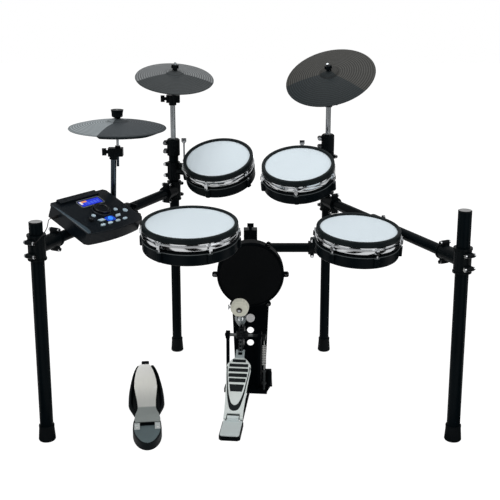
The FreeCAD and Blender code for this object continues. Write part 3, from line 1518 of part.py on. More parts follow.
def round_top(body, radius):
    """Rounds the edges of a body's highest face."""
    doc.recompute()
    base = body.Tip
    top = max(face.CenterOfMass.z for face in base.Shape.Faces)
    edges = [f"Edge{index}" for index, edge in enumerate(base.Shape.Edges, 1)
             if abs(edge.CenterOfMass.z - top) < 1e-6]
    rounding = body.newObject("PartDesign::Fillet", "rounding")
    rounding.Base = (base, edges)
    bind(rounding, Radius=radius)
    body.Tip = rounding
    return body


class Key:
    """One panel key: its place on the panel and its plan, a disc, a slot or a wedge."""

    def __init__(self, name, x, y, kind, half_long, half_deep):
        self.name = name
        self.place = Placement(Vector(x, y, 0), Rotation())
        self.kind = kind
        self.half_long = half_long
        self.half_deep = half_deep

    def prism(self, grow, low, high):
        long, deep = self.half_long + grow, self.half_deep + grow
        if self.kind == "disc":
            return put(rod(long, high - low), self.place * Placement(Vector(0, 0, low), Rotation()))
        if self.kind == "slot":
            outline = [(-long, -deep + 2.5), (-long + 2.5, -deep), (long - 2.5, -deep), (long, -deep + 2.5),
                       (long, deep - 2.5), (long - 2.5, deep), (-long + 2.5, deep), (-long, deep - 2.5)]
        else:
            lean = 3.0 if self.kind == "wedge_left" else -3.0
            outline = [
                (-long + lean, -deep),
                (long + lean, -deep),
                (long - lean, deep),
                (-long - lean, deep),
            ]
        return put(plate(outline, high - low, low), self.place)


KEYS = [
    Key("key_centre", 8.0, -48.0, "disc", 8.0, 8.0),
    Key("key_left_wedge", -24.0, -45.0, "wedge_left", 9.0, 4.5),
    Key("key_right_wedge", 42.0, -45.0, "wedge_right", 9.0, 4.5),
    Key("key_left_round", -31.0, -18.0, "disc", 6.0, 6.0),
    Key("key_right_round", 58.0, -18.0, "disc", 6.0, 6.0),
    Key("key_large_round", 84.0, -33.0, "disc", 7.5, 7.5),
    Key("key_row_1", -38.0, -66.0, "slot", 8.0, 4.0),
    Key("key_row_2", -9.0, -66.0, "slot", 8.0, 4.0),
    Key("key_row_3", 22.0, -66.0, "slot", 8.0, 4.0),
    Key("key_row_4", 51.0, -66.0, "slot", 8.0, 4.0),
]
JOG = Placement(Vector(14, -3, 0), Rotation())
VOLUME = Placement(Vector(-56, -34, 0), Rotation())
DISPLAY = Vector(14, 44, 0)


def module_case():
    """Tray under the panel, with two ribs that carry the circuit board."""
    wall = s.case_inset + 4.0
    tray = plate(module_outline(s.case_inset), s.module_tall - s.panel_thick, -s.module_tall)
    hollow = plate(module_outline(wall), s.module_tall - s.panel_thick - 4.0, -s.module_tall + 4.0)
    ribs = [block(6.0, 90.0, 10.0, Vector(x, 0, -s.module_tall + 7.0)) for x in (-60.0, 60.0)]
    board = block(150.0, 100.0, 1.6, Vector(0, 0, -s.module_tall + 12.8))
    return group(fuse(cut(tray, hollow), *ribs), board)


def module_panel():
    tools = [key.prism(s.key_gap, -s.panel_thick - 1.0, 1.0) for key in KEYS]
    tools.append(block(s.display_wide + 2 * s.fit_gap, s.display_deep + 2 * s.fit_gap, 12.0, DISPLAY))
    for spot in (JOG, VOLUME):
        tools.append(rod(s.dial_shaft_dia / 2 + s.running_gap, 12.0, spot.Base - Z * 6.0))
    top = round_top(plate(module_outline(), s.panel_thick, -s.panel_thick), s.panel_round)
    ledge_y = s.module_deep / 2 - s.panel_round - s.ledge_deep / 2
    ledge_middle = Vector(-10.0, ledge_y, (s.ledge_tall - 1.0) / 2)
    ledge = block(s.ledge_wide, s.ledge_deep, s.ledge_tall + 1.0, ledge_middle)
    return cut(fuse(top, ledge), *tools)


def module_display():
    low = -s.panel_thick
    glass = block(s.display_wide, s.display_deep, s.panel_thick + s.display_proud,
                  DISPLAY + Z * (low + (s.panel_thick + s.display_proud) / 2))
    return fuse(glass, block(s.display_wide + 6.0, s.display_deep + 6.0, 2.0, DISPLAY + Z * (low - 1.0)))


def module_key(key):
    keep = key.prism(1.2, -s.panel_thick - 2.0, -s.panel_thick - s.fit_gap)
    return fuse(key.prism(0.0, -s.panel_thick - s.fit_gap - 0.5, s.key_proud), keep)


def dial(diameter, tall, dimple):
    """Knob on a shaft through the panel, with a finger dimple or a crowned top."""
    radius = diameter / 2
    top = s.dial_lift + tall
    shaft = s.dial_shaft_dia / 2
    crown = [(radius - 1.5, top), (radius - 5.0, top), (radius - 7.0, top - 2.0), (0.0, top - 2.0)]
    return turned([
        (0.0, -s.panel_thick - 6.0),
        (shaft, -s.panel_thick - 6.0),
        (shaft, s.dial_lift),
        (radius, s.dial_lift),
        (radius, top - 1.5),
    ] + (crown if dimple else [(radius - 1.5, top), (0.0, top)]))


node("module_case", module_case(), module)
node("module_panel", module_panel(), module)
node("module_display", module_display(), module)
node("jog_dial", dial(s.jog_dia, s.jog_tall, True), module * JOG)
node("volume_knob", dial(s.volume_dia, s.volume_tall, False), module * VOLUME)
for key in KEYS:
    node(key.name, module_key(key), module)

arm_spot = along_left_arm(s.module_clamp_along)
pad_centre = module.inverse().multVec(arm_spot)
seat_low = -s.module_tall - 5.0
seat_middle = module.multVec(Vector(pad_centre.x, pad_centre.y, seat_low + 2.5))
neck_middle = module.multVec(Vector(pad_centre.x, pad_centre.y, seat_low - 6.0))
collar_start = arm_spot - LEFT_ARM * (s.collar_tall / 2)
bracket = fuse(
    block(76.0, 54.0, 5.0, seat_middle, module.Rotation),
    block(40.0, 30.0, 16.0, neck_middle, module.Rotation),
    rod(s.upright_dia / 2 + s.clamp_wall, s.collar_tall, collar_start, LEFT_ARM))
clamps.append(cut(bracket, rod(s.upright_dia / 2 + s.fit_gap, 90.0, arm_spot - LEFT_ARM * 45.0, LEFT_ARM)))

# Lead from the module's side to the left leg's clamp
plug_seat = module.multVec(Vector(s.case_inset - s.module_wide / 2, 44.0, -s.module_tall / 2))
plug_way = module.Rotation.multVec(-X)
plug_end = plug_seat + plug_way * s.plug_long


def lead_path(points):
    """Straight runs joined by tangent arcs, each as wide as the shorter run beside it allows."""
    edges = []
    here = points[0]
    for index in range(1, len(points) - 1):
        corner = points[index]
        before, after = points[index - 1] - corner, points[index + 1] - corner
        trim = 0.45 * min(before.Length, after.Length)
        start = corner + before.normalize() * trim
        end = corner + after.normalize() * trim
        edges.append(Part.LineSegment(here, start).toShape())
        edges.append(tangent_arc(start, direction(here, start), end))
        here = end
    edges.append(Part.LineSegment(here, points[-1]).toShape())
    return edges


def lead_past_leg(right, behind, height):
    """A point beside the left front leg's axis."""
    return level_with(FRONT_LEFT + Vector(right, behind, 0), height)


lead_points = [
    plug_end,
    plug_end + plug_way * 14.0,
    lead_past_leg(30.0, 20.0, 640.0),
    lead_past_leg(36.0, -30.0, 636.0),
    lead_past_leg(17.0, -40.0, 611.0),
    lead_past_leg(3.2, -34.0, 598.2),
]
node("module_cable", swept(lead_path(lead_points), s.lead_dia / 2, plug_end, plug_way))
node("cable_plug", rod(s.plug_dia / 2, s.plug_long, plug_seat, plug_way))

node("stand_tubes", group(*stand_parts))
node("wing_screws", group(*wings))
node("rack_clamps", group(*clamps))
node("clamp_bolts", group(*bolts))
doc.recompute()

failed = [thing.Label for thing in doc.Objects if {"Invalid", "Error"} & set(thing.State)]
failed += [label for label, thing in nodes.items() if thing.Shape.isNull() or not thing.Shape.isValid()]
if failed:
    raise RuntimeError(f"sub-parts that did not build: {sorted(set(failed))}")

os.makedirs("parts", exist_ok=True)
for label, thing in nodes.items():
    thing.Shape.exportStep(f"parts/{label}.step")
print(len(nodes), "sub-parts written")
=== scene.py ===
import json
import math

import bmesh
import bpy
import numpy as np
from mathutils import Matrix, Vector


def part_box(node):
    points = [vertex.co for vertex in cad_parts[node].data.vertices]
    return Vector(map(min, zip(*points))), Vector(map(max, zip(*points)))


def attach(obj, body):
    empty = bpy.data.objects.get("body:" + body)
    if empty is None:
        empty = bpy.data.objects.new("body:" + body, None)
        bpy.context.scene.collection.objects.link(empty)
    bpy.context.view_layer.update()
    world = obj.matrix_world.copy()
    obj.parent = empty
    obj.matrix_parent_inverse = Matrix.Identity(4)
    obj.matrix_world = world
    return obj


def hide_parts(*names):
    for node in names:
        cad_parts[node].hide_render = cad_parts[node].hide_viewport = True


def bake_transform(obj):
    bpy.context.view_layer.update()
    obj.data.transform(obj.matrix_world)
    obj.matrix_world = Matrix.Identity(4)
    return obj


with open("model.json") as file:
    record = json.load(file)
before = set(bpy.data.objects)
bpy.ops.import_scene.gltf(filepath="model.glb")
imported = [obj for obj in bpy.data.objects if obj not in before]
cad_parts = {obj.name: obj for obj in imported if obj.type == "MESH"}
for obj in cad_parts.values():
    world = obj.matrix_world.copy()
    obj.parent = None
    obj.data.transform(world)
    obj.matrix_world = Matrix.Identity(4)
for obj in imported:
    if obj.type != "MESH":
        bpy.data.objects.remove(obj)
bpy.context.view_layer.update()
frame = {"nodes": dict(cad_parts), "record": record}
JOINTS = {joint["name"]: joint for joint in frame["record"]["behaviour"]["joints"]}
PADS = ("snare", "floor_tom", "left_tom", "right_tom")
CYMBALS = ("hihat", "crash", "ride")
MM = 0.001

# The photograph was taken from in front of the rack, a little above the cymbals
FRONT_LINE = -0.3608
CAMERA_BACK = 2.6173
CAMERA_HEIGHT = 1.3786
CAMERA_PITCH = math.radians(14.5)
IMAGE_SIDE = 500
FOCAL_PIXELS = 1000
HORIZON_SHIFT_PIXELS = -47


def added(name, data):
    """A new object of the scene."""
    made = bpy.data.objects.new(name, data)
    bpy.context.scene.collection.objects.link(made)
    return made


def take_the_photograph():
    """Camera at the photograph's place, with its long lens and small vertical shift."""
    data = bpy.data.cameras.new("photograph")
    data.sensor_width = 36
    data.lens = data.sensor_width * FOCAL_PIXELS / IMAGE_SIDE
    data.shift_y = HORIZON_SHIFT_PIXELS / IMAGE_SIDE
    data.clip_end = 50
    camera = added("photograph", data)
    camera.location = (0, FRONT_LINE - CAMERA_BACK, CAMERA_HEIGHT)
    camera.rotation_euler = (math.pi / 2 - CAMERA_PITCH, 0, 0)
    bpy.context.scene.camera = camera


take_the_photograph()


class Field:
    """A value that varies over a surface: a shader socket that takes part in sums and products."""

    def __init__(self, finish, socket):
        self.finish = finish
        self.socket = socket

    def __add__(self, other):
        return self.finish.sum("ADD", self, other)

    def __sub__(self, other):
        return self.finish.sum("SUBTRACT", self, other)

    def __rsub__(self, other):
        return self.finish.sum("SUBTRACT", other, self)

    def __mul__(self, other):
        return self.finish.sum("MULTIPLY", self, other)

    def __pow__(self, other):
        return self.finish.sum("POWER", self, other)

    __radd__, __rmul__ = __add__, __mul__


class Finish:
    """A material being made: its node tree, its shader and the patterns that feed it."""

    def __init__(self, name, **constants):
        self.material = bpy.data.materials.new(name)
        self.material.use_nodes = True
        self.tree = self.material.node_tree
        self.shader = self.tree.nodes["Principled BSDF"]
        for socket, value in constants.items():
            self.shader.inputs[socket.replace("_", " ").title().replace("Ior", "IOR")].default_value = value

    def add(self, kind, settings=None, outlet=0, **inputs):
        """One node: its settings first, then values or links by socket name; gives one of its outlets."""
        node = self.tree.nodes.new(kind)
        for name, value in (settings or {}).items():
            setattr(node, name, value)
        for name, value in inputs.items():
            slot = node.inputs[int(name[1:])] if name[1:].isdigit() else node.inputs[name.replace("_", " ")]
            self.feed(slot, value)
        return Field(self, node.outputs[outlet])

    def feed(self, slot, value):
        """Links a field or sets a plain value."""
        if isinstance(value, Field):
            self.tree.links.new(value.socket, slot)
        else:
            slot.default_value = value

    def sum(self, operation, left, right=0.0):
        """One step of arithmetic."""
        return self.add("ShaderNodeMath", {"operation": operation}, i0=left, i1=right)

    def paint(self, **sockets):
        """Feeds the shader's varying sockets and gives the material."""
        for name, value in sockets.items():
            self.feed(self.shader.inputs[name.replace("_", " ")], value)
        return self.material

    def place(self):
        """Object coordinates in metres."""
        return self.add("ShaderNodeTexCoord", None, "Object")

    def placed_on(self, seat):
        """Coordinates on a seat: across it, along it and out of it, from its middle."""
        turn = Matrix(seat.basis.T.tolist()).to_euler()
        return self.add("ShaderNodeMapping", {"vector_type": "TEXTURE"}, Vector=self.place(),
                        Location=seat.middle.tolist(), Rotation=(turn.x, turn.y, turn.z))

    def axes(self, vector):
        """The three parts of a vector."""
        return [self.add("ShaderNodeSeparateXYZ", None, axis, Vector=vector) for axis in range(3)]

    def noise(self, scale, detail=2.0, vector=None, roughness=0.5):
        """Soft noise between 0 and 1, over the object unless another vector is given."""
        return self.add("ShaderNodeTexNoise", None, 0, Vector=vector or self.place(), Scale=scale, Detail=detail,
                        Roughness=roughness)

    def mix(self, factor, low, high):
        """A colour between two."""
        return self.add("ShaderNodeMix", {"data_type": "RGBA"}, 2, i0=factor, i6=low, i7=high)

    def bump(self, height, distance, strength=1.0):
        """Relief as a normal."""
        return self.add("ShaderNodeBump", None, 0, Height=height, Distance=distance, Strength=strength)

    def rise(self, value, low, high):
        """0 below low, 1 above high and an even slope between."""
        return self.add("ShaderNodeMapRange", {"interpolation_type": "SMOOTHSTEP"}, 0, Value=value,
                        From_Min=low, From_Max=high)

    def within(self, value, low, high, soft):
        """1 between low and high, 0 outside, with soft edges."""
        return self.rise(value, low - soft, low + soft) * (1 - self.rise(value, high - soft, high + soft))


def shade(tint, level=1.0):
    """A colour made darker or lighter, as a shader takes it."""
    return tuple(min(1.0, channel * level) for channel in tint) + (1,)


def grey(level):
    """A colour without hue."""
    return (level, level, level)


# Places on the object that pieces and patterns are laid out on
def unit(vector):
    """A vector at length one."""
    return np.asarray(vector, float) / np.linalg.norm(vector)


def units(rows):
    """Each row at length one."""
    return rows / np.linalg.norm(rows, axis=1)[:, None]


class Seat:
    """A place on the object: its middle and three directions, across it, along it and out of it."""

    def __init__(self, middle, across, out):
        out = unit(out)
        across = unit(np.asarray(across, float) - out * np.dot(across, out))
        self.basis = np.array([across, np.cross(out, across), out])
        self.middle = np.array(middle, float)

    def lay(self, points):
        """Points given across, along and out, carried to the object's frame."""
        return np.asarray(points, float) @ self.basis + self.middle

    def measure(self, node):
        """A CAD node's points, given across, along and out."""
        return (corners_of(node) - self.middle) @ self.basis.T

    def spot(self, point, across=0, out=2):
        """A seat at a point in mm, with two of this one's directions as its across and out."""
        return Seat(self.lay(np.array(point) * MM), self.basis[across], self.basis[out])

    def settle(self, node):
        """Moves the middle onto the top of a CAD node; gives the node's bounds as measured before."""
        local = self.measure(node)
        low, high = local.min(0), local.max(0)
        self.middle = self.lay([*((low + high) / 2)[:2], high[2]])
        return low, high


def corners_of(node):
    """A CAD node's points in the object's frame."""
    vertices = frame["nodes"][node].data.vertices
    points = np.empty(len(vertices) * 3, np.float32)
    vertices.foreach_get("co", points)
    return points.reshape(-1, 3).astype(float)


def disc_seat(node, across=(1, 0, 0), facing=(0, 0, 1)):
    """Seat on one side of a round CAD part, with its radius; its axis is the way of least spread."""
    points = corners_of(node)
    middle = points.mean(0)
    axis = np.linalg.svd(points - middle, full_matrices=False)[2][2]
    seat = Seat(middle, across, axis if np.dot(axis, facing) > 0 else -axis)
    low, high = seat.settle(node)
    seat.radius = (high[0] - low[0]) / 2
    return seat


def joint_place(name):
    """A point on a joint's axis."""
    return np.array(JOINTS[name]["pos_m"])


def joint_axis(name):
    """A joint's direction."""
    return unit(JOINTS[name]["axis"])


def board_seat():
    """Kick footboard: from its hinge towards the chain's pin at its toe."""
    hinge, across = joint_place("footboard_hinge"), joint_axis("footboard_hinge")
    return Seat(hinge, across, np.cross(across, joint_place("chain_lean") - hinge))


def control_seat(slope):
    """Hi-hat pedal: from the hinge of its footplate, turned up by the given slope."""
    across = joint_axis("control_plate_hinge")
    along = math.cos(slope) * unit(np.cross((0, 0, 1), across)) + math.sin(slope) * np.array((0, 0, 1))
    return Seat(joint_place("control_plate_hinge"), across, np.cross(across, along))


# Middles of the jog dial and of the display, in mm from the middle of the module's top
JOG_SPOT = np.array((14.0, -3.0, 0.0))
DISPLAY_SPOT = (14.0, 44.0)


def module_seat():
    """Module's top: its two dials lie 70 mm apart across it and 31 mm along it."""
    across_gap, along_gap = 70.0, 31.0
    out = joint_axis("jog_turn")
    gap = joint_place("jog_turn") - joint_place("volume_turn")
    across = gap * across_gap - np.cross(out, gap) * along_gap
    seat = Seat(joint_place("jog_turn"), across, out)
    seat.middle = seat.lay(-JOG_SPOT * MM)
    return seat


def felt_seat():
    """Front of the beater's felt: its axis is the direction square to the pedal's axle along which it is thinnest."""
    rough = disc_seat("beater_head", joint_axis("beater_swing"))
    lean = np.linspace(-0.4, 0.4, 161)
    ways = np.sin(lean)[:, None] * rough.basis[1] + np.cos(lean)[:, None] * rough.basis[2]
    spread = np.ptp(corners_of("beater_head") @ ways.T, axis=0)
    seat = Seat(rough.middle, rough.basis[0], ways[spread.argmin()])
    seat.settle("beater_head")
    seat.radius, seat.thick = rough.radius, float(spread.min())
    return seat


SEATS = {pad: disc_seat(f"{pad}_head") for pad in PADS}
SEATS.update({cymbal: disc_seat(f"{cymbal}_cymbal") for cymbal in CYMBALS})
BOARD = board_seat()
TREAD_SLOPE = math.radians(19.0)
TREAD = control_seat(TREAD_SLOPE)
CONTROL = control_seat(0.0)
MODULE = module_seat()
FELT = felt_seat()


# Forms: grids of points, rows by columns, closed round their columns, and the lines they are made from
def turned(seat, profile, steps=96, swell=None):
    """A profile of radius and height carried round the seat's axis; swell(angle) scales the radius."""
    radius, height = np.asarray(profile, float).T
    angle = np.linspace(0, math.tau, steps, endpoint=False)
    reach = radius[:, None] * (np.ones(steps) if swell is None else swell(angle))
    return seat.lay(np.stack([reach * np.cos(angle), reach * np.sin(angle),
                              np.repeat(height[:, None], steps, 1)], -1))


def rounded(corners, radius, steps=6):
    """An outline with each corner drawn as the quadratic curve that leaves its two sides at the given radius."""
    corner = np.asarray(corners, float)
    before, after = np.roll(corner, 1, 0) - corner, np.roll(corner, -1, 0) - corner
    radius = np.broadcast_to(np.asarray(radius, float), len(corner))[:, None]
    start, end = corner + units(before) * radius, corner + units(after) * radius
    t = np.linspace(0, 1, steps)[:, None]
    curve = (1 - t) ** 2 * start[:, None] + 2 * t * (1 - t) * corner[:, None] + t ** 2 * end[:, None]
    return curve.reshape(-1, 2)


def slab(seat, outline, low, high, edge=0.4, ground=None):
    """A thin plate in mm: the outline carried from low to high, drawn in at its top edge and closed at its middle.

    ground(x, y) lifts each point, so the plate follows a surface that isn't level.
    """
    outline = np.asarray(outline, float)
    middle = outline.mean(0)
    span = np.linalg.norm(outline - middle, axis=1).mean()
    scale = np.array([0.0, 1.0, 1.0, 1 - edge / span, 1 - 2.5 * edge / span, 0.5, 0.0])
    height = np.array([low, low, high - edge, high - 0.3 * edge, high, high, high])
    flat = middle + (outline - middle) * scale[:, None, None]
    lift = 0.0 if ground is None else ground(flat[..., 0], flat[..., 1])
    return seat.lay(np.concatenate([flat, (height[:, None] + np.zeros(len(outline)) + lift)[..., None]], -1) * MM)


def capped(grid):
    """A grid of sections with its ends drawn to their middles."""
    ends = np.repeat(grid[[0, -1]].mean(1)[:, None], grid.shape[1], 1)
    return np.concatenate([ends[:1], grid, ends[1:]])


def carried(path, sideways, upwards, profile):
    """A profile of two columns, sideways and upwards, carried along a path."""
    return capped(path[:, None] + profile[:, :1] * sideways[:, None] + profile[:, 1:] * upwards[:, None])


def band(seat, outer, inner, low, high, closed=False):
    """A flat strip in mm between two lines of as many points, with eased top edges."""
    outer, inner = np.asarray(outer, float), np.asarray(inner, float)
    share = np.array([0.0, 0.0, 0.12, 0.88, 1.0, 1.0])[:, None]
    ease = 0.3 * (high - low)
    height = np.array([low, high - ease, high, high, high - ease, low])
    flat = outer[:, None] * (1 - share) + inner[:, None] * share
    grid = np.concatenate([flat, np.broadcast_to(height[:, None], flat.shape[:2] + (1,))], -1)
    return seat.lay((grid if closed else capped(grid)) * MM)


def ring_lines(path, width):
    """The two lines at half a width each side of a closed path."""
    way = units(np.roll(path, -1, 0) - np.roll(path, 1, 0))
    across = np.stack([way[:, 1], -way[:, 0]], -1) * width / 2
    return path + across, path - across


def along_path(points, count):
    """Points spaced evenly along a polyline, by its length."""
    points = np.asarray(points, float)
    reach = np.concatenate([[0], np.cumsum(np.linalg.norm(np.diff(points, axis=0), axis=1))])
    at = np.linspace(0, reach[-1], count)
    return np.stack([np.interp(at, reach, points[:, axis]) for axis in range(points.shape[1])], -1)


def smoothed(line, reach):
    """A line with each point moved to the mean of its neighbours on both sides."""
    width = 2 * reach + 1
    return np.stack([np.convolve(np.pad(axis, reach, "edge"), np.ones(width) / width, "valid") for axis in line.T], -1)


def eased(value, low, high):
    """0 below low and 1 above high, with a smooth slope between."""
    t = np.clip((np.asarray(value, float) - low) / (high - low), 0, 1)
    return t * t * (3 - 2 * t)


def circle(radius, count):
    """Points round a circle."""
    angle = np.linspace(0, math.tau, count, endpoint=False)
    return np.stack([np.cos(angle), np.sin(angle)], -1) * radius


def dome(seat, x, y, radius, height, base):
    """A rivet head in mm: a flat dome turned about a point of the seat."""
    t = np.linspace(0, math.pi / 2, 6)
    curve = np.stack([radius * np.cos(t), height * np.sin(t)], -1)
    profile = np.vstack([[0, -0.2], [radius, -0.2], curve[:-1], [0, height]])
    return turned(seat.spot((x, y, base)), profile * MM, 20)


def piece(name, body, slot, material, *grids, ring=False, crease=40):
    """One object from its grids: faces between neighbours, poles and seams merged, faces outwards."""
    points, faces, start = [], [], 0
    for grid in grids:
        rows, columns = grid.shape[:2]
        index = start + np.arange(rows * columns).reshape(rows, columns)
        index = np.concatenate([index, index[:, :1]], 1)
        index = np.concatenate([index, index[:1]], 0) if ring else index
        faces.append(np.stack([index[:-1, :-1], index[:-1, 1:], index[1:, 1:], index[1:, :-1]], -1).reshape(-1, 4))
        points.append(grid.reshape(-1, 3))
        start += rows * columns
    mesh = bpy.data.meshes.new(name)
    mesh.from_pydata(np.concatenate(points).tolist(), [], np.concatenate(faces).tolist())
    form = bmesh.new()
    form.from_mesh(mesh)
    bmesh.ops.remove_doubles(form, verts=form.verts, dist=1e-6)
    bmesh.ops.recalc_face_normals(form, faces=form.faces)
    form.to_mesh(mesh)
    form.free()
    mesh.polygons.foreach_set("use_smooth", np.ones(len(mesh.polygons), bool))
    mesh.set_sharp_from_angle(angle=math.radians(crease))
    mesh.materials.append(material)
    made = added(name, mesh)
    if body:
        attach(made, body)
    return made


# Finishes
def powder_coat(name, tint, gloss, shine=0.08):
    """Black powder coat: fine orange peel, a little dust and scuffed gloss."""
    finish = Finish(name, roughness=gloss, specular_ior_level=shine)
    peel = finish.noise(900, 3)
    dust = finish.noise(22, 5)
    return finish.paint(Base_Color=finish.mix(dust, shade(tint, 0.6), shade(tint, 1.5)),
                        Roughness=gloss - 0.06 + dust * 0.14, Normal=finish.bump(peel, 0.0004, 0.18))


def moulded(name, tint, gloss, shine=0.1, grain=1600, depth=0.00022):
    """Moulded plastic or rubber: a spark-eroded grain with slight shine differences."""
    finish = Finish(name, roughness=gloss, specular_ior_level=shine)
    fine = finish.noise(grain, 2)
    broad = finish.noise(14, 4)
    return finish.paint(Base_Color=finish.mix(broad, shade(tint, 0.75), shade(tint, 1.3)),
                        Roughness=gloss - 0.05 + broad * 0.1, Normal=finish.bump(fine, depth, 0.35))


def bright_plate(name, tint=(0.80, 0.82, 0.84), gloss=0.07):
    """Chrome plate with faint haze where it has been handled."""
    finish = Finish(name, metallic=1.0, roughness=gloss)
    haze = finish.noise(35, 4)
    return finish.paint(Base_Color=finish.mix(haze, shade(tint, 0.92), shade(tint)),
                        Roughness=gloss + haze ** 3 * 0.22)


def stand_plate():
    """Bright tubes and stems; up to its tilter, the hi-hat's boom is painted darker: painted shade for its chrome in
    shade.
    """
    finish = Finish("stand_plate", metallic=1.0, roughness=0.1)
    x, _, z = finish.axes(finish.place())
    left_side, below_tilter = 1 - finish.rise(x, -0.32, -0.31), 1 - finish.rise(z, 0.775, 0.78)
    # Painted shade: the hi-hat's chrome boom, up to its tilter, darkened where it lies in shade
    boom = left_side * below_tilter
    haze = finish.noise(35, 4)
    bright = finish.mix(haze, shade((0.55, 0.59, 0.61)), shade((0.64, 0.67, 0.69)))
    return finish.paint(Base_Color=finish.mix(boom, bright, shade((0.07, 0.09, 0.11))),
                        Roughness=0.08 + haze ** 3 * 0.2)


def bolt_plate():
    """Bolts: chrome plate; the broad bolt low in the tower in satin; painted reflection darkens the spring's adjuster.
    """
    finish = Finish("bolt_plate", metallic=1.0, roughness=0.11)
    _, _, height = finish.axes(finish.place())
    low = 1 - finish.rise(height, 0.250, 0.255)
    # Painted reflection: the spring's chrome adjuster is painted near black for the dark it reflects
    black = 1 - finish.rise(height, 0.110, 0.115)
    haze = finish.noise(35, 4)
    plate = finish.mix(haze, shade((0.74, 0.75, 0.77)), shade((0.80, 0.82, 0.84)))
    plate = finish.mix(low, plate, shade(grey(1.0)))
    return finish.paint(Base_Color=finish.mix(black, plate, shade((0.02, 0.025, 0.027))),
                        Roughness=0.11 + haze ** 3 * 0.22 + low * 0.34, Metallic=1 - low * 0.75)


def axle_plate():
    """Pedal axle: blackened steel, worn bright to the left of the cam and for a stretch to its right."""
    finish = Finish("axle_steel", roughness=0.3, specular_ior_level=0.2)
    seat = Seat(joint_place("beater_swing"), joint_axis("beater_swing"), (0, 0, 1))
    across, _, _ = finish.axes(finish.placed_on(seat))
    worn = finish.noise(60, 4)
    left_of_cam, right_of_cam = (-0.042, -0.017), (0.020, 0.034)
    bright = finish.within(across, *left_of_cam, 0.003) + finish.within(across, *right_of_cam, 0.003)
    return finish.paint(Base_Color=finish.mix(bright, shade((0.005, 0.007, 0.008)), shade((0.17, 0.18, 0.18))),
                        Metallic=bright, Roughness=0.26 + worn * 0.2)


def beater_plate():
    """Beater shaft and its clamp in grey plate, with a dark ring round the nut on the felt."""
    finish = Finish("yoke_plate", metallic=1.0, roughness=0.22)
    x, y, out = finish.axes(finish.placed_on(FELT))
    reach = (x * x + y * y) ** 0.5
    behind = finish.rise(out, -FELT.thick - 0.0002, -FELT.thick + 0.0004)
    ring = finish.within(reach, 0.0042, 0.0096, 0.0003) * (1 - behind)
    haze = finish.noise(45, 4)
    plate = finish.mix(haze, shade((0.46, 0.49, 0.50)), shade((0.60, 0.62, 0.63)))
    return finish.paint(Base_Color=finish.mix(ring, plate, shade((0.12, 0.11, 0.095))), Roughness=0.18 + haze * 0.14)


def brushed(name, tint, seat, gloss=0.28, strength=0.25, metal=1.0, zones=()):
    """Brushed metal: noise drawn out along the seat, and zones along it, from a line on, in another shade."""
    finish = Finish(name, metallic=metal, roughness=gloss, specular_ior_level=0.3)
    laid = finish.placed_on(seat)
    stretched = finish.add("ShaderNodeMapping", {"vector_type": "POINT"}, Vector=laid, Scale=(1500, 40, 1500))
    lines = finish.noise(1.0, 3.0, stretched)
    broad = finish.noise(18, 4)
    _, along, _ = finish.axes(laid)
    tone = finish.mix(lines * 0.6 + broad * 0.4, shade(tint, 0.9), shade(tint, 1.05))
    for line, soft, colour in zones:
        tone = finish.mix(finish.rise(along, line - soft, line + soft), tone,
                          finish.mix(lines, shade(colour, 0.9), shade(colour, 1.08)))
    return finish.paint(Base_Color=tone, Roughness=gloss - 0.06 + lines * 0.12 + broad * 0.08,
                        Normal=finish.bump(lines, 0.0002, strength))


def mesh_weave(name, seat, tint, thread, shine=0.25):
    """Woven mesh: two sets of fine threads at right angles, a shade darker in the open weave, with painted shade at the
    rim.
    """
    finish = Finish(name, roughness=0.6, specular_ior_level=shine)
    x, y, _ = finish.axes(finish.placed_on(seat))
    warp, weft = (finish.sum("SINE", axis * (math.tau / thread)) for axis in (x, y))
    weave = finish.sum("MAXIMUM", warp, weft) * 0.5 + 0.5
    worn = finish.noise(7, 3)
    reach = (x * x + y * y) ** 0.5
    # Painted shade: the head darkens towards its rim, under the hoop that stands over it
    edge = finish.rise(reach, seat.radius * 0.86, seat.radius)
    tone = finish.mix(worn * 0.5 + weave * 0.5, shade(tint, 0.93), shade(tint, 1.05))
    return finish.paint(Base_Color=finish.mix(edge * 0.25, tone, shade(tint, 0.8)), Roughness=0.52 + weave * 0.16,
                        Normal=finish.bump(weave, 0.0003, 0.4))


def ringed_rubber(cymbal, base, heading, spread, sector, bell, ring_pitch=0.0075):
    """Cymbal rubber: turned rings outside the bell, and a fainter ringed sector about a heading, painted light."""
    seat = SEATS[cymbal]
    finish = Finish(f"{cymbal}_rubber", roughness=0.5, specular_ior_level=0.14)
    x, y, _ = finish.axes(finish.placed_on(seat))
    reach = (x * x + y * y) ** 0.5
    rings = (finish.sum("SINE", reach * (math.tau / ring_pitch)) * 0.5 + 0.5) ** 2
    bow = finish.within(reach, bell + 0.006, seat.radius - 0.004, 0.002)
    # Painted light: the sector and the rest of the rubber are a lit and a shaded copy, split at the sector's edge
    ahead, aside = x * math.cos(heading) + y * math.sin(heading), y * math.cos(heading) - x * math.sin(heading)
    turn = finish.sum("ABSOLUTE", finish.sum("ARCTAN2", aside, ahead))
    zone = 1 - finish.rise(turn, spread - 0.012, spread + 0.012)
    bell_line = finish.within(reach, bell - 0.002, bell + 0.001, 0.001)
    broad = finish.noise(9, 4)
    fine = finish.noise(1400, 2)
    groove = rings * bow + (1 - bow) * 0.25
    ringed = finish.mix(groove, shade(base, 0.58), shade(base, 2.0))
    tone = finish.mix(zone, ringed, finish.mix(groove, shade(sector, 0.72), shade(sector, 1.7)))
    tone = finish.mix(bell_line * 0.6, tone, shade(base, 0.3))
    return finish.paint(Base_Color=finish.mix(broad * 0.3, tone, shade(base, 0.9)),
                        Roughness=0.44 + broad * 0.16 + rings * 0.06,
                        Normal=finish.bump(rings * bow + fine * 0.2, 0.0006, 0.35))


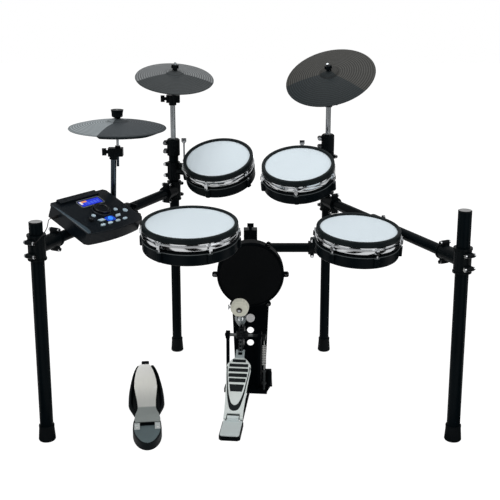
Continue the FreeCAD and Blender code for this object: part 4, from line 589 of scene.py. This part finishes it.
def felt(name):
    """Pressed wool felt: matted short fibres, cream with darker flecks."""
    finish = Finish(name, roughness=0.95, sheen_weight=0.2, specular_ior_level=0.1)
    fibre = finish.noise(420, 6, roughness=0.7)
    broad = finish.noise(60, 4)
    wool = finish.mix(fibre * 0.5 + broad * 0.5, shade((0.68, 0.68, 0.56)), shade((0.88, 0.88, 0.76)))
    return finish.paint(Base_Color=wool, Normal=finish.bump(fibre, 0.0012, 0.8))


def lit(name, tint, strength):
    """Backlit plastic: a glow that fades a little towards darker spots."""
    finish = Finish(name, roughness=0.3, emission_strength=strength)
    spots = finish.noise(180, 2)
    glow = finish.mix(spots, shade(tint, 0.7), shade(tint))
    return finish.paint(Base_Color=glow, Emission_Color=glow)


def screen():
    """Lit display: blue with paler bars, a white square and an orange bar at its upper left."""
    finish = Finish("display_glow", roughness=0.15, emission_strength=0.9)
    across, along, _ = finish.axes(finish.placed_on(MODULE))
    x, y = across * (1 / MM) - DISPLAY_SPOT[0], along * (1 / MM) - DISPLAY_SPOT[1]
    bars = finish.within(x, -22.0, 30.0, 0.5) * finish.within(y, -8.0, 3.0, 0.5)
    split = finish.rise(finish.sum("SINE", x * (math.tau / 13.0)), -0.7, -0.5)
    tone = finish.mix(bars * split * 0.55, shade((0.01, 0.03, 0.72)), shade((0.10, 0.20, 1.0)))
    orange = finish.within(x, -30.0, -10.0, 0.4) * finish.within(y, 4.0, 11.0, 0.4)
    white = finish.within(x, -38.0, -30.0, 0.4) * finish.within(y, -3.0, 11.0, 0.4)
    tone = finish.mix(orange, tone, shade((1.0, 0.36, 0.08)))
    tone = finish.mix(white, tone, shade((0.95, 0.93, 0.88)))
    return finish.paint(Base_Color=shade(grey(0.01)), Emission_Color=tone)


def shell_plastic(pad):
    """Pad shell: black moulded plastic with a fine pale line along the edge of its lip, a painted highlight."""
    finish = Finish(f"{pad}_plastic", roughness=0.34, specular_ior_level=0.06)
    _, _, out = finish.axes(finish.placed_on(SEATS[pad]))
    broad = finish.noise(14, 4)
    lip_edge, tint = (-0.0418, -0.0402), (0.0014, 0.0034, 0.0048)
    # Painted highlight: the pale line where the lip's edge catches the light
    lip_highlight = finish.within(out, *lip_edge, 0.0003) * (0.4 + broad * 0.6)
    black = finish.mix(broad, shade(tint, 0.75), shade(tint, 1.3))
    return finish.paint(Base_Color=finish.mix(lip_highlight, black, shade((0.13, 0.145, 0.15))),
                        Roughness=0.29 + broad * 0.1, Normal=finish.bump(finish.noise(1600, 2), 0.00022, 0.35))


def rack_rubber():
    """Feet and leg caps: black rubber, with the caps' level tops painted grey, a painted highlight from the lamps
    above.
    """
    finish = Finish("foot_rubber", roughness=0.55, specular_ior_level=0.1)
    _, _, height = finish.axes(finish.place())
    _, _, up = finish.axes(finish.add("ShaderNodeNewGeometry", None, "Normal"))
    worn = finish.noise(40, 4)
    # Painted highlight: faces of the caps that point up are painted grey
    level, above_feet = finish.rise(up, 0.93, 0.985), finish.rise(height, 0.40, 0.45)
    black = finish.mix(worn, shade((0.0015, 0.003, 0.004)), shade((0.004, 0.006, 0.007)))
    painted_top_light = finish.mix(worn, shade(grey(0.24)), shade(grey(0.38)))
    return finish.paint(Base_Color=finish.mix(level * above_feet, black, painted_top_light), Roughness=0.48 + worn * 0.15)


def dress(material, *nodes):
    """Gives CAD nodes a finish."""
    for node in nodes:
        slots = frame["nodes"][node].data.materials
        slots.clear()
        slots.append(material)


BLACK = (0.0012, 0.0028, 0.0038)
clamp_plastic = moulded("clamp_plastic", BLACK, 0.34, 0.10)
chrome = bright_plate("chrome", gloss=0.11)
screw_plate = bright_plate("screw_plate", (0.92, 0.92, 0.90), 0.42)
strip_rubber = moulded("strip_rubber", (0.008, 0.011, 0.013), 0.5, 0.15)
chain_steel = bright_plate("chain_steel", (0.10, 0.11, 0.115), 0.25)
# Painted light on one brushed tread: shade at its bent hinge end, growing pale to a white highlight towards its toe
TREAD_SHADE, TREAD_GREY = (0.32, 0.355, 0.345), (0.62, 0.63, 0.60)
TREAD_LIT, TREAD_HIGHLIGHT = (0.93, 0.93, 0.87), (1.0, 1.0, 0.94)
tread_steel = brushed("tread_steel", TREAD_SHADE, TREAD, 0.38, metal=0.35,
                      zones=[(0.055, 0.004, TREAD_GREY), (0.115, 0.05, TREAD_LIT), (0.205, 0.05, TREAD_HIGHLIGHT)])
leaf_steel = brushed("leaf_steel", (0.60, 0.645, 0.64), TREAD, 0.38, metal=0.3)
# Painted highlight: near-white rivets stand in for the glint on their zinc heads
rivet_glint = moulded("rivet_glint", (0.96, 0.97, 0.95), 0.35, 0.5)
board_alloy = brushed("board_alloy", (0.78, 0.84, 0.82), BOARD, 0.4, 0.15, 0.2, [(0.209, 0.004, (0.38, 0.44, 0.45))])
dress(powder_coat("tube_coat", (0.0012, 0.0032, 0.0044), 0.32, 0.05), "front_legs", "rear_uprights", "side_arms",
      "cross_tube")
dress(rack_rubber(), "tube_ends")
dress(clamp_plastic, "rack_clamps", "wing_screws", "cymbal_nuts")
dress(bolt_plate(), "clamp_bolts")
dress(chrome, *[f"{pad}_rim" for pad in PADS])
dress(beater_plate(), "beater_shaft")
dress(stand_plate(), "stand_tubes")
dress(axle_plate(), "cam_axle")
dress(powder_coat("rod_black", BLACK, 0.28, 0.08), "pad_rods")
for pad in PADS:
    dress(shell_plastic(pad), f"{pad}_shell")
dress(moulded("hoop_rubber", (0.0045, 0.0085, 0.0098), 0.42, 0.12), *[f"{pad}_hoop" for pad in PADS])
dress(powder_coat("tower_coat", (0.0008, 0.0018, 0.0028), 0.42, 0.03), "kick_tower", "pedal_base", "kick_shell")
dress(board_alloy, "footboard")
dress(brushed("heel_alloy", (0.68, 0.75, 0.75), BOARD, 0.46, 0.15, 0.2), "heel_plate")
control_plastic = moulded("control_plastic", (0.0025, 0.005, 0.0065), 0.42, 0.10)
dress(moulded("module_plastic", (0.0035, 0.0058, 0.0088), 0.3, 0.22), "module_case", "module_panel")
dress(moulded("dial_plastic", (0.005, 0.006, 0.008), 0.28, 0.4), "jog_dial", "volume_knob")
dress(screen(), "module_display")
dress(moulded("key_plastic", (0.52, 0.66, 0.75), 0.3, 0.4),
      *[node for node in frame["nodes"] if node.startswith("key_")])
dress(lit("lit_key", (0.03, 0.22, 0.90), 0.8), "key_centre")
sheath = moulded("lead_sheath", (0.008, 0.008, 0.009), 0.5, 0.2)
dress(sheath, "cable_plug")
# Painted light: sheen on the hi-hat's left sector and the crash's back, shade on the crash's and ride's front sectors
for cymbal, base, heading, spread, sector, bell in (
        ("hihat", (0.047, 0.055, 0.061), 2.84, 1.59, (0.27, 0.30, 0.315), 0.029),
        ("crash", (0.146, 0.154, 0.158), -1.45, 1.3, (0.025, 0.030, 0.032), 0.017),
        ("ride", (0.046, 0.046, 0.043), -1.95, 1.15, (0.015, 0.021, 0.024), 0.030)):
    dress(ringed_rubber(cymbal, base, heading, spread, sector, bell), f"{cymbal}_cymbal")


# Cymbals
def edge_lip():
    """Lip under the hi-hat cymbal's front edge: a section carried round the rim, its depth eased out at both ends."""
    seat, under, deep, thin = SEATS["hihat"], -30.6, 6.0, 0.2
    left, full, fading, gone, right = -1.88, -1.80, -0.95, -0.40, -0.38
    turn = np.linspace(left, right, 70)[:, None]
    depth = deep * eased(turn, left, full) * (1 - eased(turn, fading, gone)) + thin
    radius = seat.radius / MM - np.array([0.6, 0.8, 1.8, 4.2, 5.6, 6.6])
    height = under + np.array([0.6, 0.0, 0.0, 0.0, 0.0, 1.0]) - depth * np.array([0.0, 0.55, 1.0, 1.0, 0.55, 0.0])
    grid = np.stack([radius * np.cos(turn), radius * np.sin(turn), height], -1)
    piece("edge_lip", "hihat_cymbal_pad", "cymbal_rubber", moulded("lip_rubber", (0.010, 0.014, 0.016), 0.5, 0.12),
          seat.lay(capped(grid) * MM))


edge_lip()


# Lead from the module to the clamp of the left leg
def lead():
    """The lead's line is one smooth spline through the route's control points."""
    route = [(-0.5586, -0.25196, 0.62994), (-0.56702, -0.26315, 0.62994), (-0.553, -0.3408, 0.64),
             (-0.547, -0.3908, 0.636), (-0.566, -0.4008, 0.611), (-0.5798, -0.3948, 0.5982)]
    curve = bpy.data.curves.new("module_lead", "CURVE")
    curve.dimensions = "3D"
    curve.bevel_depth = 1.3 * MM
    curve.bevel_resolution = 4
    curve.use_fill_caps = True
    curve.resolution_u = 16
    spline = curve.splines.new("NURBS")
    spline.points.add(len(route) - 1)
    spline.points.foreach_set("co", np.column_stack([route, np.ones(len(route))]).ravel())
    spline.order_u = 3
    spline.use_endpoint_u = True
    curve.materials.append(sheath)
    made = added("module_lead", curve)
    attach(made, "rack")
    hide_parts("module_cable")


lead()


# Pads
def rolled_rim(pad):
    """Bowed chrome band round a pad: an arc that stands out of the rim's flat face, carried round the pad's axis."""
    low, high, face, bow = -30.2, -16.6, SEATS[pad].radius / MM + 6.0, 1.5
    t = np.linspace(-1, 1, 17)
    arc = np.stack([face + 0.05 + bow * (1 - t ** 2), (low + high) / 2 + (high - low) / 2 * t], -1)
    profile = np.vstack([[(face - 1.0, low + 0.1)], arc, [(face - 1.0, high - 0.1)]])
    piece(f"{pad}_rim_band", f"{pad}_pad", "bright_steel", chrome, turned(SEATS[pad], profile * MM, 144), ring=True)


for pad in PADS:
    rolled_rim(pad)


def head(pad, node, body, slot, material, seat, collar):
    """A flat round sheet with its edge turned down over the shell: a profile carried round the pad's axis."""
    reach, thick, bend, dip = seat.radius / MM, 1.0, 1.5, 0.25
    t = np.linspace(0, math.pi / 2, 5)
    flat = np.linspace(0, reach - bend, 24)
    outer = np.stack([reach - bend + bend * np.sin(t), bend * np.cos(t) - bend], -1)
    under = outer - np.stack([np.sin(t), np.cos(t)], -1) * thick
    top = np.stack([flat, dip * (flat / reach) ** 2 - dip], -1)
    profile = np.vstack([top, outer, [[reach, -collar], [reach - thick, -collar]], under[::-1],
                         (top - [0, thick])[::-1]])
    profile[-1, 0] = 0.0
    made = piece(f"{pad}_mesh_head", body, slot, material, turned(seat, profile * MM))
    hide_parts(node)
    size = 2 * (reach + collar) * MM
    math.pi / 4 * size ** 2


HEAD_TINT, HEAD_THREAD, HEAD_COLLAR = (0.725, 0.815, 0.87), 0.0011, 8.0
for pad in PADS:
    weave = mesh_weave(f"{pad}_weave", SEATS[pad], HEAD_TINT, HEAD_THREAD)
    head(pad, f"{pad}_head", f"{pad}_pad", "mesh_head", weave, SEATS[pad], HEAD_COLLAR)
KICK = disc_seat("kick_head", facing=(0, -1, 0))
KICK_TINT, KICK_THREAD, KICK_COLLAR = (0.0022, 0.003, 0.0036), 0.0014, 2.5
head("kick", "kick_head", "rack", "black_rubber", mesh_weave("kick_weave", KICK, KICK_TINT, KICK_THREAD, 0.08), KICK,
     KICK_COLLAR)


# Kick pedal
def beater_felt():
    """A round felt block: radius and height follow a superellipse, and six soft flats swell and draw in its radius."""
    side_power, face_power = 0.35, 0.5
    t = np.linspace(-math.pi / 2, math.pi / 2, 33)
    radius = FELT.radius * np.abs(np.cos(t)) ** side_power
    height = FELT.thick / 2 * (np.sign(np.sin(t)) * np.abs(np.sin(t)) ** face_power - 1)
    made = piece("beater_felt", "beater", "felt", felt("pressed_felt"),
                 turned(FELT, np.stack([radius, height], -1), 96,
                        lambda angle: 0.985 + 0.014 * np.cos(6 * angle + 0.5) + 0.008 * np.cos(2 * angle)))
    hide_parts("beater_head")


beater_felt()


def return_spring():
    """A wire carried along a helix whose radius eases to nothing at the hooks, from the foot up to the lever."""
    low, high = (np.array(corner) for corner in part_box("return_spring"))
    turns, wire, reach = 12, 0.8 * MM, 6.0 * MM
    hook, bend = 0.16, 0.03
    middle = (low + high) / 2
    t = np.linspace(0, 1, 340)
    angle = math.tau * turns * np.clip((t - hook) / (1 - 2 * hook), 0, 1)
    radius = reach * eased(t, hook - bend, hook + bend) * (1 - eased(t, 1 - hook - bend, 1 - hook + bend))
    height = low[2] + wire + t * (high[2] - low[2] - 2 * wire)
    radial = np.stack([np.cos(angle), np.sin(angle), np.zeros_like(t)], -1)
    path = middle * (1, 1, 0) + radius[:, None] * radial + height[:, None] * (0, 0, 1)
    way = units(np.gradient(path, axis=0))
    side = units(radial - way * (radial * way).sum(1)[:, None])
    made = piece("pedal_spring", None, "spring_steel", bright_plate("spring_wire", (0.94, 0.94, 0.92), 0.30),
                 carried(path, side, np.cross(way, side), circle(wire, 8)))
    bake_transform(made)
    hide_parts("return_spring")


return_spring()


def board_trim():
    """Rubber laid on the footboard: five strips, a tapered block, and a line that runs round them and widens below.

    Rubber also lies in the notch round the heel's tongue, and alloy shoulders widen the board at its toe.
    """
    top = 2.5
    sunk, proud = top - 0.3, top + 0.9
    strips = [(20.5, 194.0, 204.5), (29.0, 177.0, 188.0), (30.0, 159.5, 171.5), (28.5, 140.5, 153.0),
              (25.5, 122.0, 135.5)]
    grids = [slab(BOARD, rounded([(-half, low), (half, low), (half, high), (-half, high)], 1.2), sunk, proud)
             for half, low, high in strips]
    block = rounded([(-17.5, 89.0), (18.0, 89.0), (22.5, 114.0), (-22.5, 114.0)], 1.5)
    grids.append(slab(BOARD, block, sunk, proud))
    outer = [(35.5, 180.0), (34.5, 152.0), (30.5, 120.0), (28.0, 95.0), (24.5, 70.0), (20.0, 48.0), (15.0, 30.0),
             (10.5, 22.5), (0.0, 22.0)]
    inner = [(33.6, 180.0), (32.2, 152.0), (27.4, 120.0), (24.2, 95.0), (19.4, 72.0), (13.4, 54.0), (9.0, 45.0),
             (5.0, 41.0), (0.0, 40.0)]
    lines = [smoothed(along_path(half + [(-x, y) for x, y in half[-2::-1]], 140), 4) for half in (outer, inner)]
    grids.append(band(BOARD, *lines, sunk, proud))
    # Painted shade: a dark rubber sheet under the board's heel end, before the hinge barrel, darkens the slit at the
    # hinge
    grids.append(slab(BOARD, [(-19.0, 5.6), (19.0, 5.6), (19.0, 16.0), (-19.0, 16.0)], -6.0, -4.4))
    piece("board_strips_and_slot_shade", "kick_footboard", "hoop_rubber", strip_rubber, *grids)
    piece("tongue_seals", "rack", "hoop_rubber", strip_rubber,
          *[slab(BOARD, [(x - 1.0, -8.0), (x + 1.0, -8.0), (x + 1.0, 6.0), (x - 1.0, 6.0)], 4.5, 6.9)
            for x in (-18.6, 18.6)])
    shoulder = [(12.5, 216.0), (14.5, 210.5), (20.5, 206.6), (26.5, 200.0), (32.0, 192.0), (36.5, 184.5), (37.4, 176.0),
                (30.0, 180.0), (12.5, 200.0)]
    piece("board_shoulders", "kick_footboard", "plate_steel", board_alloy,
          *[slab(BOARD, rounded([(side * x, y) for x, y in shoulder], 1.5), -2.4, top - 0.05) for side in (1, -1)])


board_trim()


def pedal_chain():
    """Roller chain: plates waisted between their pins, wide and narrow pairs in turn, with a roller on each pin."""
    pitch, count, plate, gap, step = 12.7, 3, 1.1, 2.6, 1.2
    roller, roller_half, corner, pin, pin_half = 3.9, 2.5, 0.5, 1.7, 5.4
    across = joint_axis("footboard_hinge")
    side_on = Seat(joint_place("chain_lean"), np.cross((0, 0, 1), across), across)
    angle = np.linspace(0, math.tau, 48, endpoint=False)
    end, waist = 4.3, 1.0
    reach = end - waist * np.sin(angle) ** 2
    outline = np.stack([reach * np.sin(angle), reach * np.cos(angle) + pitch / 2 * np.cos(angle)], -1)
    plates, rollers = [], []
    for link in range(count):
        middle = outline + (0, (link + 0.5) * pitch)
        inside = gap + step * (link % 2)
        plates += [slab(side_on, middle, low, low + plate, 0.25) for low in (inside, -inside - plate)]
    t = np.linspace(0, math.pi / 2, 4)
    half = np.stack([roller - corner + corner * np.sin(t), roller_half - corner * (1 - np.cos(t))], -1)
    drum = np.vstack([[0, roller_half], half, half[::-1] * (1, -1), [0, -roller_half]])
    rod = np.array([(0, pin_half), (pin, pin_half), (pin, -pin_half), (0, -pin_half)])
    for link in range(1, count + 1):
        spot = side_on.spot((0, link * pitch, 0))
        rollers += [turned(spot, drum * MM, 24), turned(spot, rod * MM, 16)]
    made = piece("roller_chain", "chain", "chain_steel", chain_steel, *plates, *rollers)
    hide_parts("drive_chain")


pedal_chain()


# Hi-hat pedal, which stands a little aside of its hinge's middle
CONTROL_ASIDE = 5.5


def control_tread():
    """Steel tread: a flat section carried along its length, its half width read from a waisted outline.

    The lower end stands off the hinge and eases down to the plate's own line, so the tread bends there.
    """
    toe = float(TREAD.measure("hihat_footplate")[:, 1].max() / MM)
    outline = np.array([(-13, 36.5), (0, 37.5), (21, 34.0), (38, 28.5), (54, 26.3), (85, 28.0), (112, 31.5),
                        (142, 34.5), (170, 33.0), (200, 28.5), (toe - 22, 24.0), (toe - 10, 19.5), (toe - 3, 16.0),
                        (toe, 14.5)])
    along = np.concatenate([np.linspace(-13, toe - 24, 80), np.linspace(toe - 23, toe, 24)])
    even = np.linspace(-40, toe + 40, 600)
    smooth = smoothed(np.interp(even, outline[:, 0], outline[:, 1])[:, None], 10)[:, 0]
    half = np.interp(along, even, smooth)
    thick, stand_off, heel_aside, toe_drift = 1.2, 8.5, 1.5, 4.5
    lift = stand_off * (1 - eased(along, 8.0, 62.0))
    aside = CONTROL_ASIDE + heel_aside - toe_drift * along / toe
    t = np.linspace(-1, 1, 15)
    side = np.concatenate([t, [1.004], t[::-1], [-1.004]])
    rise = np.concatenate([thick - 0.25 * t ** 4, [0.0], -thick + 0 * t, [0.0]])
    grid = np.stack([side * half[:, None] + aside[:, None], np.repeat(along[:, None], len(side), 1),
                     rise + lift[:, None]], -1)
    shell = TREAD.lay(capped(grid) * MM)
    pin = np.linspace(-30, 30, 12)[:, None] * (1, 0, 0) + (CONTROL_ASIDE, 0, 0)
    along_tread, out = (np.repeat(TREAD.basis[[axis]], len(pin), 0) for axis in (1, 2))
    barrel = carried(TREAD.lay(pin * MM), along_tread, out, circle(3.0 * MM, 16))
    made = piece("control_tread", "control_plate", "plate_steel", tread_steel, shell, barrel)
    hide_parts("hihat_footplate")
    # Rivets painted near white, a painted glint
    piece("tread_rivets", "control_plate", "bright_steel", rivet_glint,
          dome(TREAD, CONTROL_ASIDE - 27.0, 124.0, radius=2.6, height=1.4, base=1.0),
          dome(TREAD, CONTROL_ASIDE + 26.0, 134.0, radius=3.4, height=1.8, base=1.0))


control_tread()


def control_base():
    """Base of the hi-hat pedal: a section carried along its length, as wide and tall there as its outline gives.

    The heel's outline is half an ellipse, then a waist at the hinge, then wings that narrow to the toe and stand up on
    both sides of the tread.
    """
    heel_half, heel_centre, heel_long, toe, floor = 42.0, -30.0, 93.0, 246.0, -30.0
    t = np.linspace(0.02, math.pi / 2, 22)
    heel = heel_centre - heel_long * np.cos(t)
    rest = np.linspace(heel_centre + 2, toe, 110)
    knots = np.array([(-30, 42), (5, 41), (24, 38), (40, 34), (47, 36), (54, 43), (63, 50), (80, 54), (109, 53.6),
                      (133, 51.5), (162, 47.5), (194, 41.5), (216, 35), (228, 30), (toe, 19.5)])
    along = np.concatenate([heel, rest])
    half = np.concatenate([heel_half * np.sin(t), np.interp(rest, *knots.T)])
    half = np.concatenate([half[:len(heel)], smoothed(half[len(heel):, None], 2)[:, 0]])
    tall = np.interp(along, [-123, -96, -80, 20, 238, toe], [16, 22, 24, 24, 72, 70])
    wing = np.maximum(tall, np.interp(along, [46, 60, 234, toe], [24, 42, 102, 96]))
    # From the floor up the side and in: share of the half width, share of the height, and how far inside the wing
    share = np.array([1.0, 1.0, 0.99, 0.965, 0.92, 0.86, 0.80, 0.74, 0.5, 0.25])
    level = np.array([0.0, 0.80, 0.93, 0.985, 1.0, 1.0, 0.97, 1.0, 1.0, 1.0])
    inner = np.array([0, 0, 0, 0, 0, 0, 0.55, 1, 1, 1])
    splay = half[:, None] * np.where(np.arange(len(share)) == 0, 1 - 0.38 * eased(along, 20.0, 62.0)[:, None], 1.0)
    right = np.stack([share * splay, np.repeat(along[:, None], len(share), 1),
                      floor + level * (wing[:, None] * (1 - inner) + tall[:, None] * inner)], -1)
    crown = np.stack([0 * along, along, floor + tall], -1)[:, None]
    foot = np.stack([0 * along, along, floor + 0 * along], -1)[:, None]
    grid = np.concatenate([right, crown, right[:, ::-1] * (-1, 1, 1), foot], 1) + (CONTROL_ASIDE, 0, 0)
    wedge = CONTROL.lay(capped(grid) * MM)
    stop = rounded([(-12.0, 239.0), (12.0, 239.0), (11.0, toe), (-11.0, toe)], 2.0) + (CONTROL_ASIDE, 0)
    post = slab(CONTROL, stop, floor, 82.0, 0.8)
    lug = np.array([(0, 4), (6.4, 4), (6.8, 3.5), (6.8, -3.5), (6.4, -4), (0, -4)]) * MM
    lugs = [turned(CONTROL.spot((side + CONTROL_ASIDE, 0, 0), 1, 0), lug, 32) for side in (-27.5, 27.5)]
    made = piece("control_base", "rack", "control_plastic", control_plastic, wedge, post, *lugs)
    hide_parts("hihat_pedal_base")


control_base()


def control_heel():
    """Heel of the hi-hat pedal: a grey pad that narrows to the end, and the two hinge leaves with their screws."""
    top = -6.0

    def ground(x, y):
        """The heel's top, which falls away towards its end."""
        return top - 2.0 * eased(-y, 78.0, 96.0) - 6.0 * eased(-y, 90.0, 128.0)

    t = np.linspace(-math.pi / 2, math.pi / 2, 41)
    outline = np.concatenate([[(37.5, -20.0), (-37.5, -20.0)],
                              np.stack([38.0 * np.sin(t), -32.0 - 82.0 * np.cos(t)], -1)]) + (CONTROL_ASIDE, 0)
    piece("heel_pad", "rack", "control_plastic", moulded("heel_grey", (0.108, 0.146, 0.155), 0.55, 0.2),
          slab(CONTROL, outline, -0.6, 0.9, 0.5, ground))
    leaves, screws = [], []
    for left, right in ((-37.0, -21.0), (22.0, 38.0)):
        corners = [(left, -44.0), (right, -44.0), (right, -14.6), (left, -14.6)]
        leaves.append(slab(CONTROL, rounded(corners, 1.5) + (CONTROL_ASIDE, 0), top + 0.8, top + 2.2, 0.4,
                           lambda x, y: 5.5 * eased(y, -30.0, -15.0)))
        middle = (left + right) / 2 + CONTROL_ASIDE
        screws.append(dome(CONTROL, middle, -33.0, radius=3.6, height=1.6, base=top + 2.2))
    piece("hinge_leaves", "rack", "plate_steel", leaf_steel, *leaves)
    piece("hinge_screws", "rack", "bright_steel", screw_plate, *screws)


control_heel()


# Sound module
def module_trim():
    """Frame round the display, painted highlight on the left bevel, the ring round the jog dial and the lit key's glow.
    """
    path = rounded([(-30.5, 27.5), (58.5, 27.5), (58.5, 60.5), (-30.5, 60.5)], 7.0, 8)
    piece("display_frame", "rack", "module_plastic", moulded("frame_grey", (0.16, 0.18, 0.20), 0.3, 0.4),
          band(MODULE, *ring_lines(path, 3.0), -0.4, 1.6, closed=True), ring=True)
    # Painted highlight: a pale sheet on the panel's left margin for the light on its bevelled edge
    bevel = [(-110.0, 74.0), (-105.0, 50.0), (-99.0, -5.0), (-93.5, -58.0), (-95.0, -74.0), (-101.0, -82.0),
             (-110.0, -82.0)]
    piece("bevel_highlight_sheet", "rack", "module_plastic", moulded("bevel_painted_highlight", (0.042, 0.064, 0.082), 0.25, 0.5),
          slab(MODULE, rounded(bevel, 2.0), -0.4, 0.9, 0.5))
    section = (circle(1.3, 12) + (27.2, 0.6)) * MM
    piece("jog_ring", "rack", "module_plastic", moulded("ring_grey", (0.020, 0.026, 0.034), 0.25, 0.5),
          turned(MODULE.spot(JOG_SPOT), section), ring=True)
    turn, key = circle(1.0, 64), (8.0, -48.0)
    block = np.sign(turn) * np.abs(turn) ** 0.5 * (17.0, 11.0) + key
    piece("key_glow", "rack", "lit_key", lit("glow_blue", (0.008, 0.045, 0.42), 0.8),
          band(MODULE, block, turn * 9.9 + key, -0.4, 0.5, closed=True), ring=True)


module_trim()


# Studio
KIT_MIDDLE = Vector((0, 0, 0.5))
SKY_STRENGTH = 0.42
FLOOR_GLOW, FLOOR_GLOW_SHARE = 1.3, 0.72
FLOOR_HEIGHT, CARD_HEIGHT = -0.0005, 0.002


def lamp(name, place, size, power):
    data = bpy.data.lights.new(name, "AREA")
    data.size = size
    data.energy = power
    made = added(name, data)
    made.location = place
    made.rotation_euler = (KIT_MIDDLE - Vector(place)).to_track_quat("-Z", "Y").to_euler()


def staged(name, corners, height, material):
    """A level sheet of the studio with the given corners."""
    mesh = bpy.data.meshes.new(name)
    mesh.from_pydata([(x, y, height) for x, y in corners], [], [tuple(range(len(corners)))])
    mesh.materials.append(material)
    made = added(name, mesh)
    return made


def white_light(node, strength):
    """The outlet of a light's shader, once that is set to white."""
    node.inputs["Color"].default_value = shade(grey(1))
    node.inputs["Strength"].default_value = strength
    return node.outputs[0]


def mixed(tree, first, second, share=None):
    """Two shaders mixed by a share, or else the second for the camera and the first for all else."""
    mixer = tree.nodes.new("ShaderNodeMixShader")
    if share is None:
        tree.links.new(tree.nodes.new("ShaderNodeLightPath").outputs["Is Camera Ray"], mixer.inputs[0])
    else:
        mixer.inputs[0].default_value = share
    tree.links.new(first, mixer.inputs[1])
    tree.links.new(second, mixer.inputs[2])
    return mixer.outputs[0]


def cards(spans, near, far):
    dark = moulded("card_black", grey(0.004), 0.9, 0.0)
    for number, span in enumerate(spans):
        heading = np.radians(np.array(span, float)[[0, 0, 1, 1]])
        reach = np.array([near, far, far, near])
        corners = np.stack([reach * np.sin(heading), -reach * np.cos(heading)], -1)
        card = staged(f"card_{number}", corners.tolist(), CARD_HEIGHT, dark)
        card.visible_camera = card.visible_diffuse = card.visible_shadow = False


def studio():
    """White floor and surroundings, broad lamps above and in front, and dark cards that streak the bright metal."""
    world = bpy.data.worlds.new("studio")
    world.use_nodes = True
    tree = world.node_tree
    sky = white_light(tree.nodes["Background"], SKY_STRENGTH)
    white = white_light(tree.nodes.new("ShaderNodeBackground"), 1.0)
    tree.links.new(mixed(tree, sky, white), tree.nodes["World Output"].inputs[0])
    bpy.context.scene.world = world
    bpy.context.scene.view_settings.view_transform = "Standard"
    finish = Finish("floor_white", roughness=0.9, specular_ior_level=0.0)
    finish.paint(Base_Color=finish.mix(finish.noise(3, 3), shade(grey(0.86)), shade(grey(0.9))))
    tree, coat = finish.tree, finish.shader.outputs[0]
    glow = white_light(tree.nodes.new("ShaderNodeEmission"), FLOOR_GLOW)
    seen = mixed(tree, coat, glow, FLOOR_GLOW_SHARE)
    tree.links.new(mixed(tree, coat, seen), tree.nodes["Material Output"].inputs[0])
    staged("floor", [(-9, -9), (9, -9), (9, 9), (-9, 9)], FLOOR_HEIGHT, finish.material)
    cards([(-12, 14), (-64, -42), (46, 70), (100, 140), (-140, -105)], near=0.6, far=8.8)
    lamp("key", (-2.2, -2.4, 3.4), size=2.4, power=48)
    lamp("fill", (2.8, -2.0, 2.4), size=2.4, power=24)
    lamp("top", (0.2, 0.6, 3.6), size=2.8, power=40)


studio()
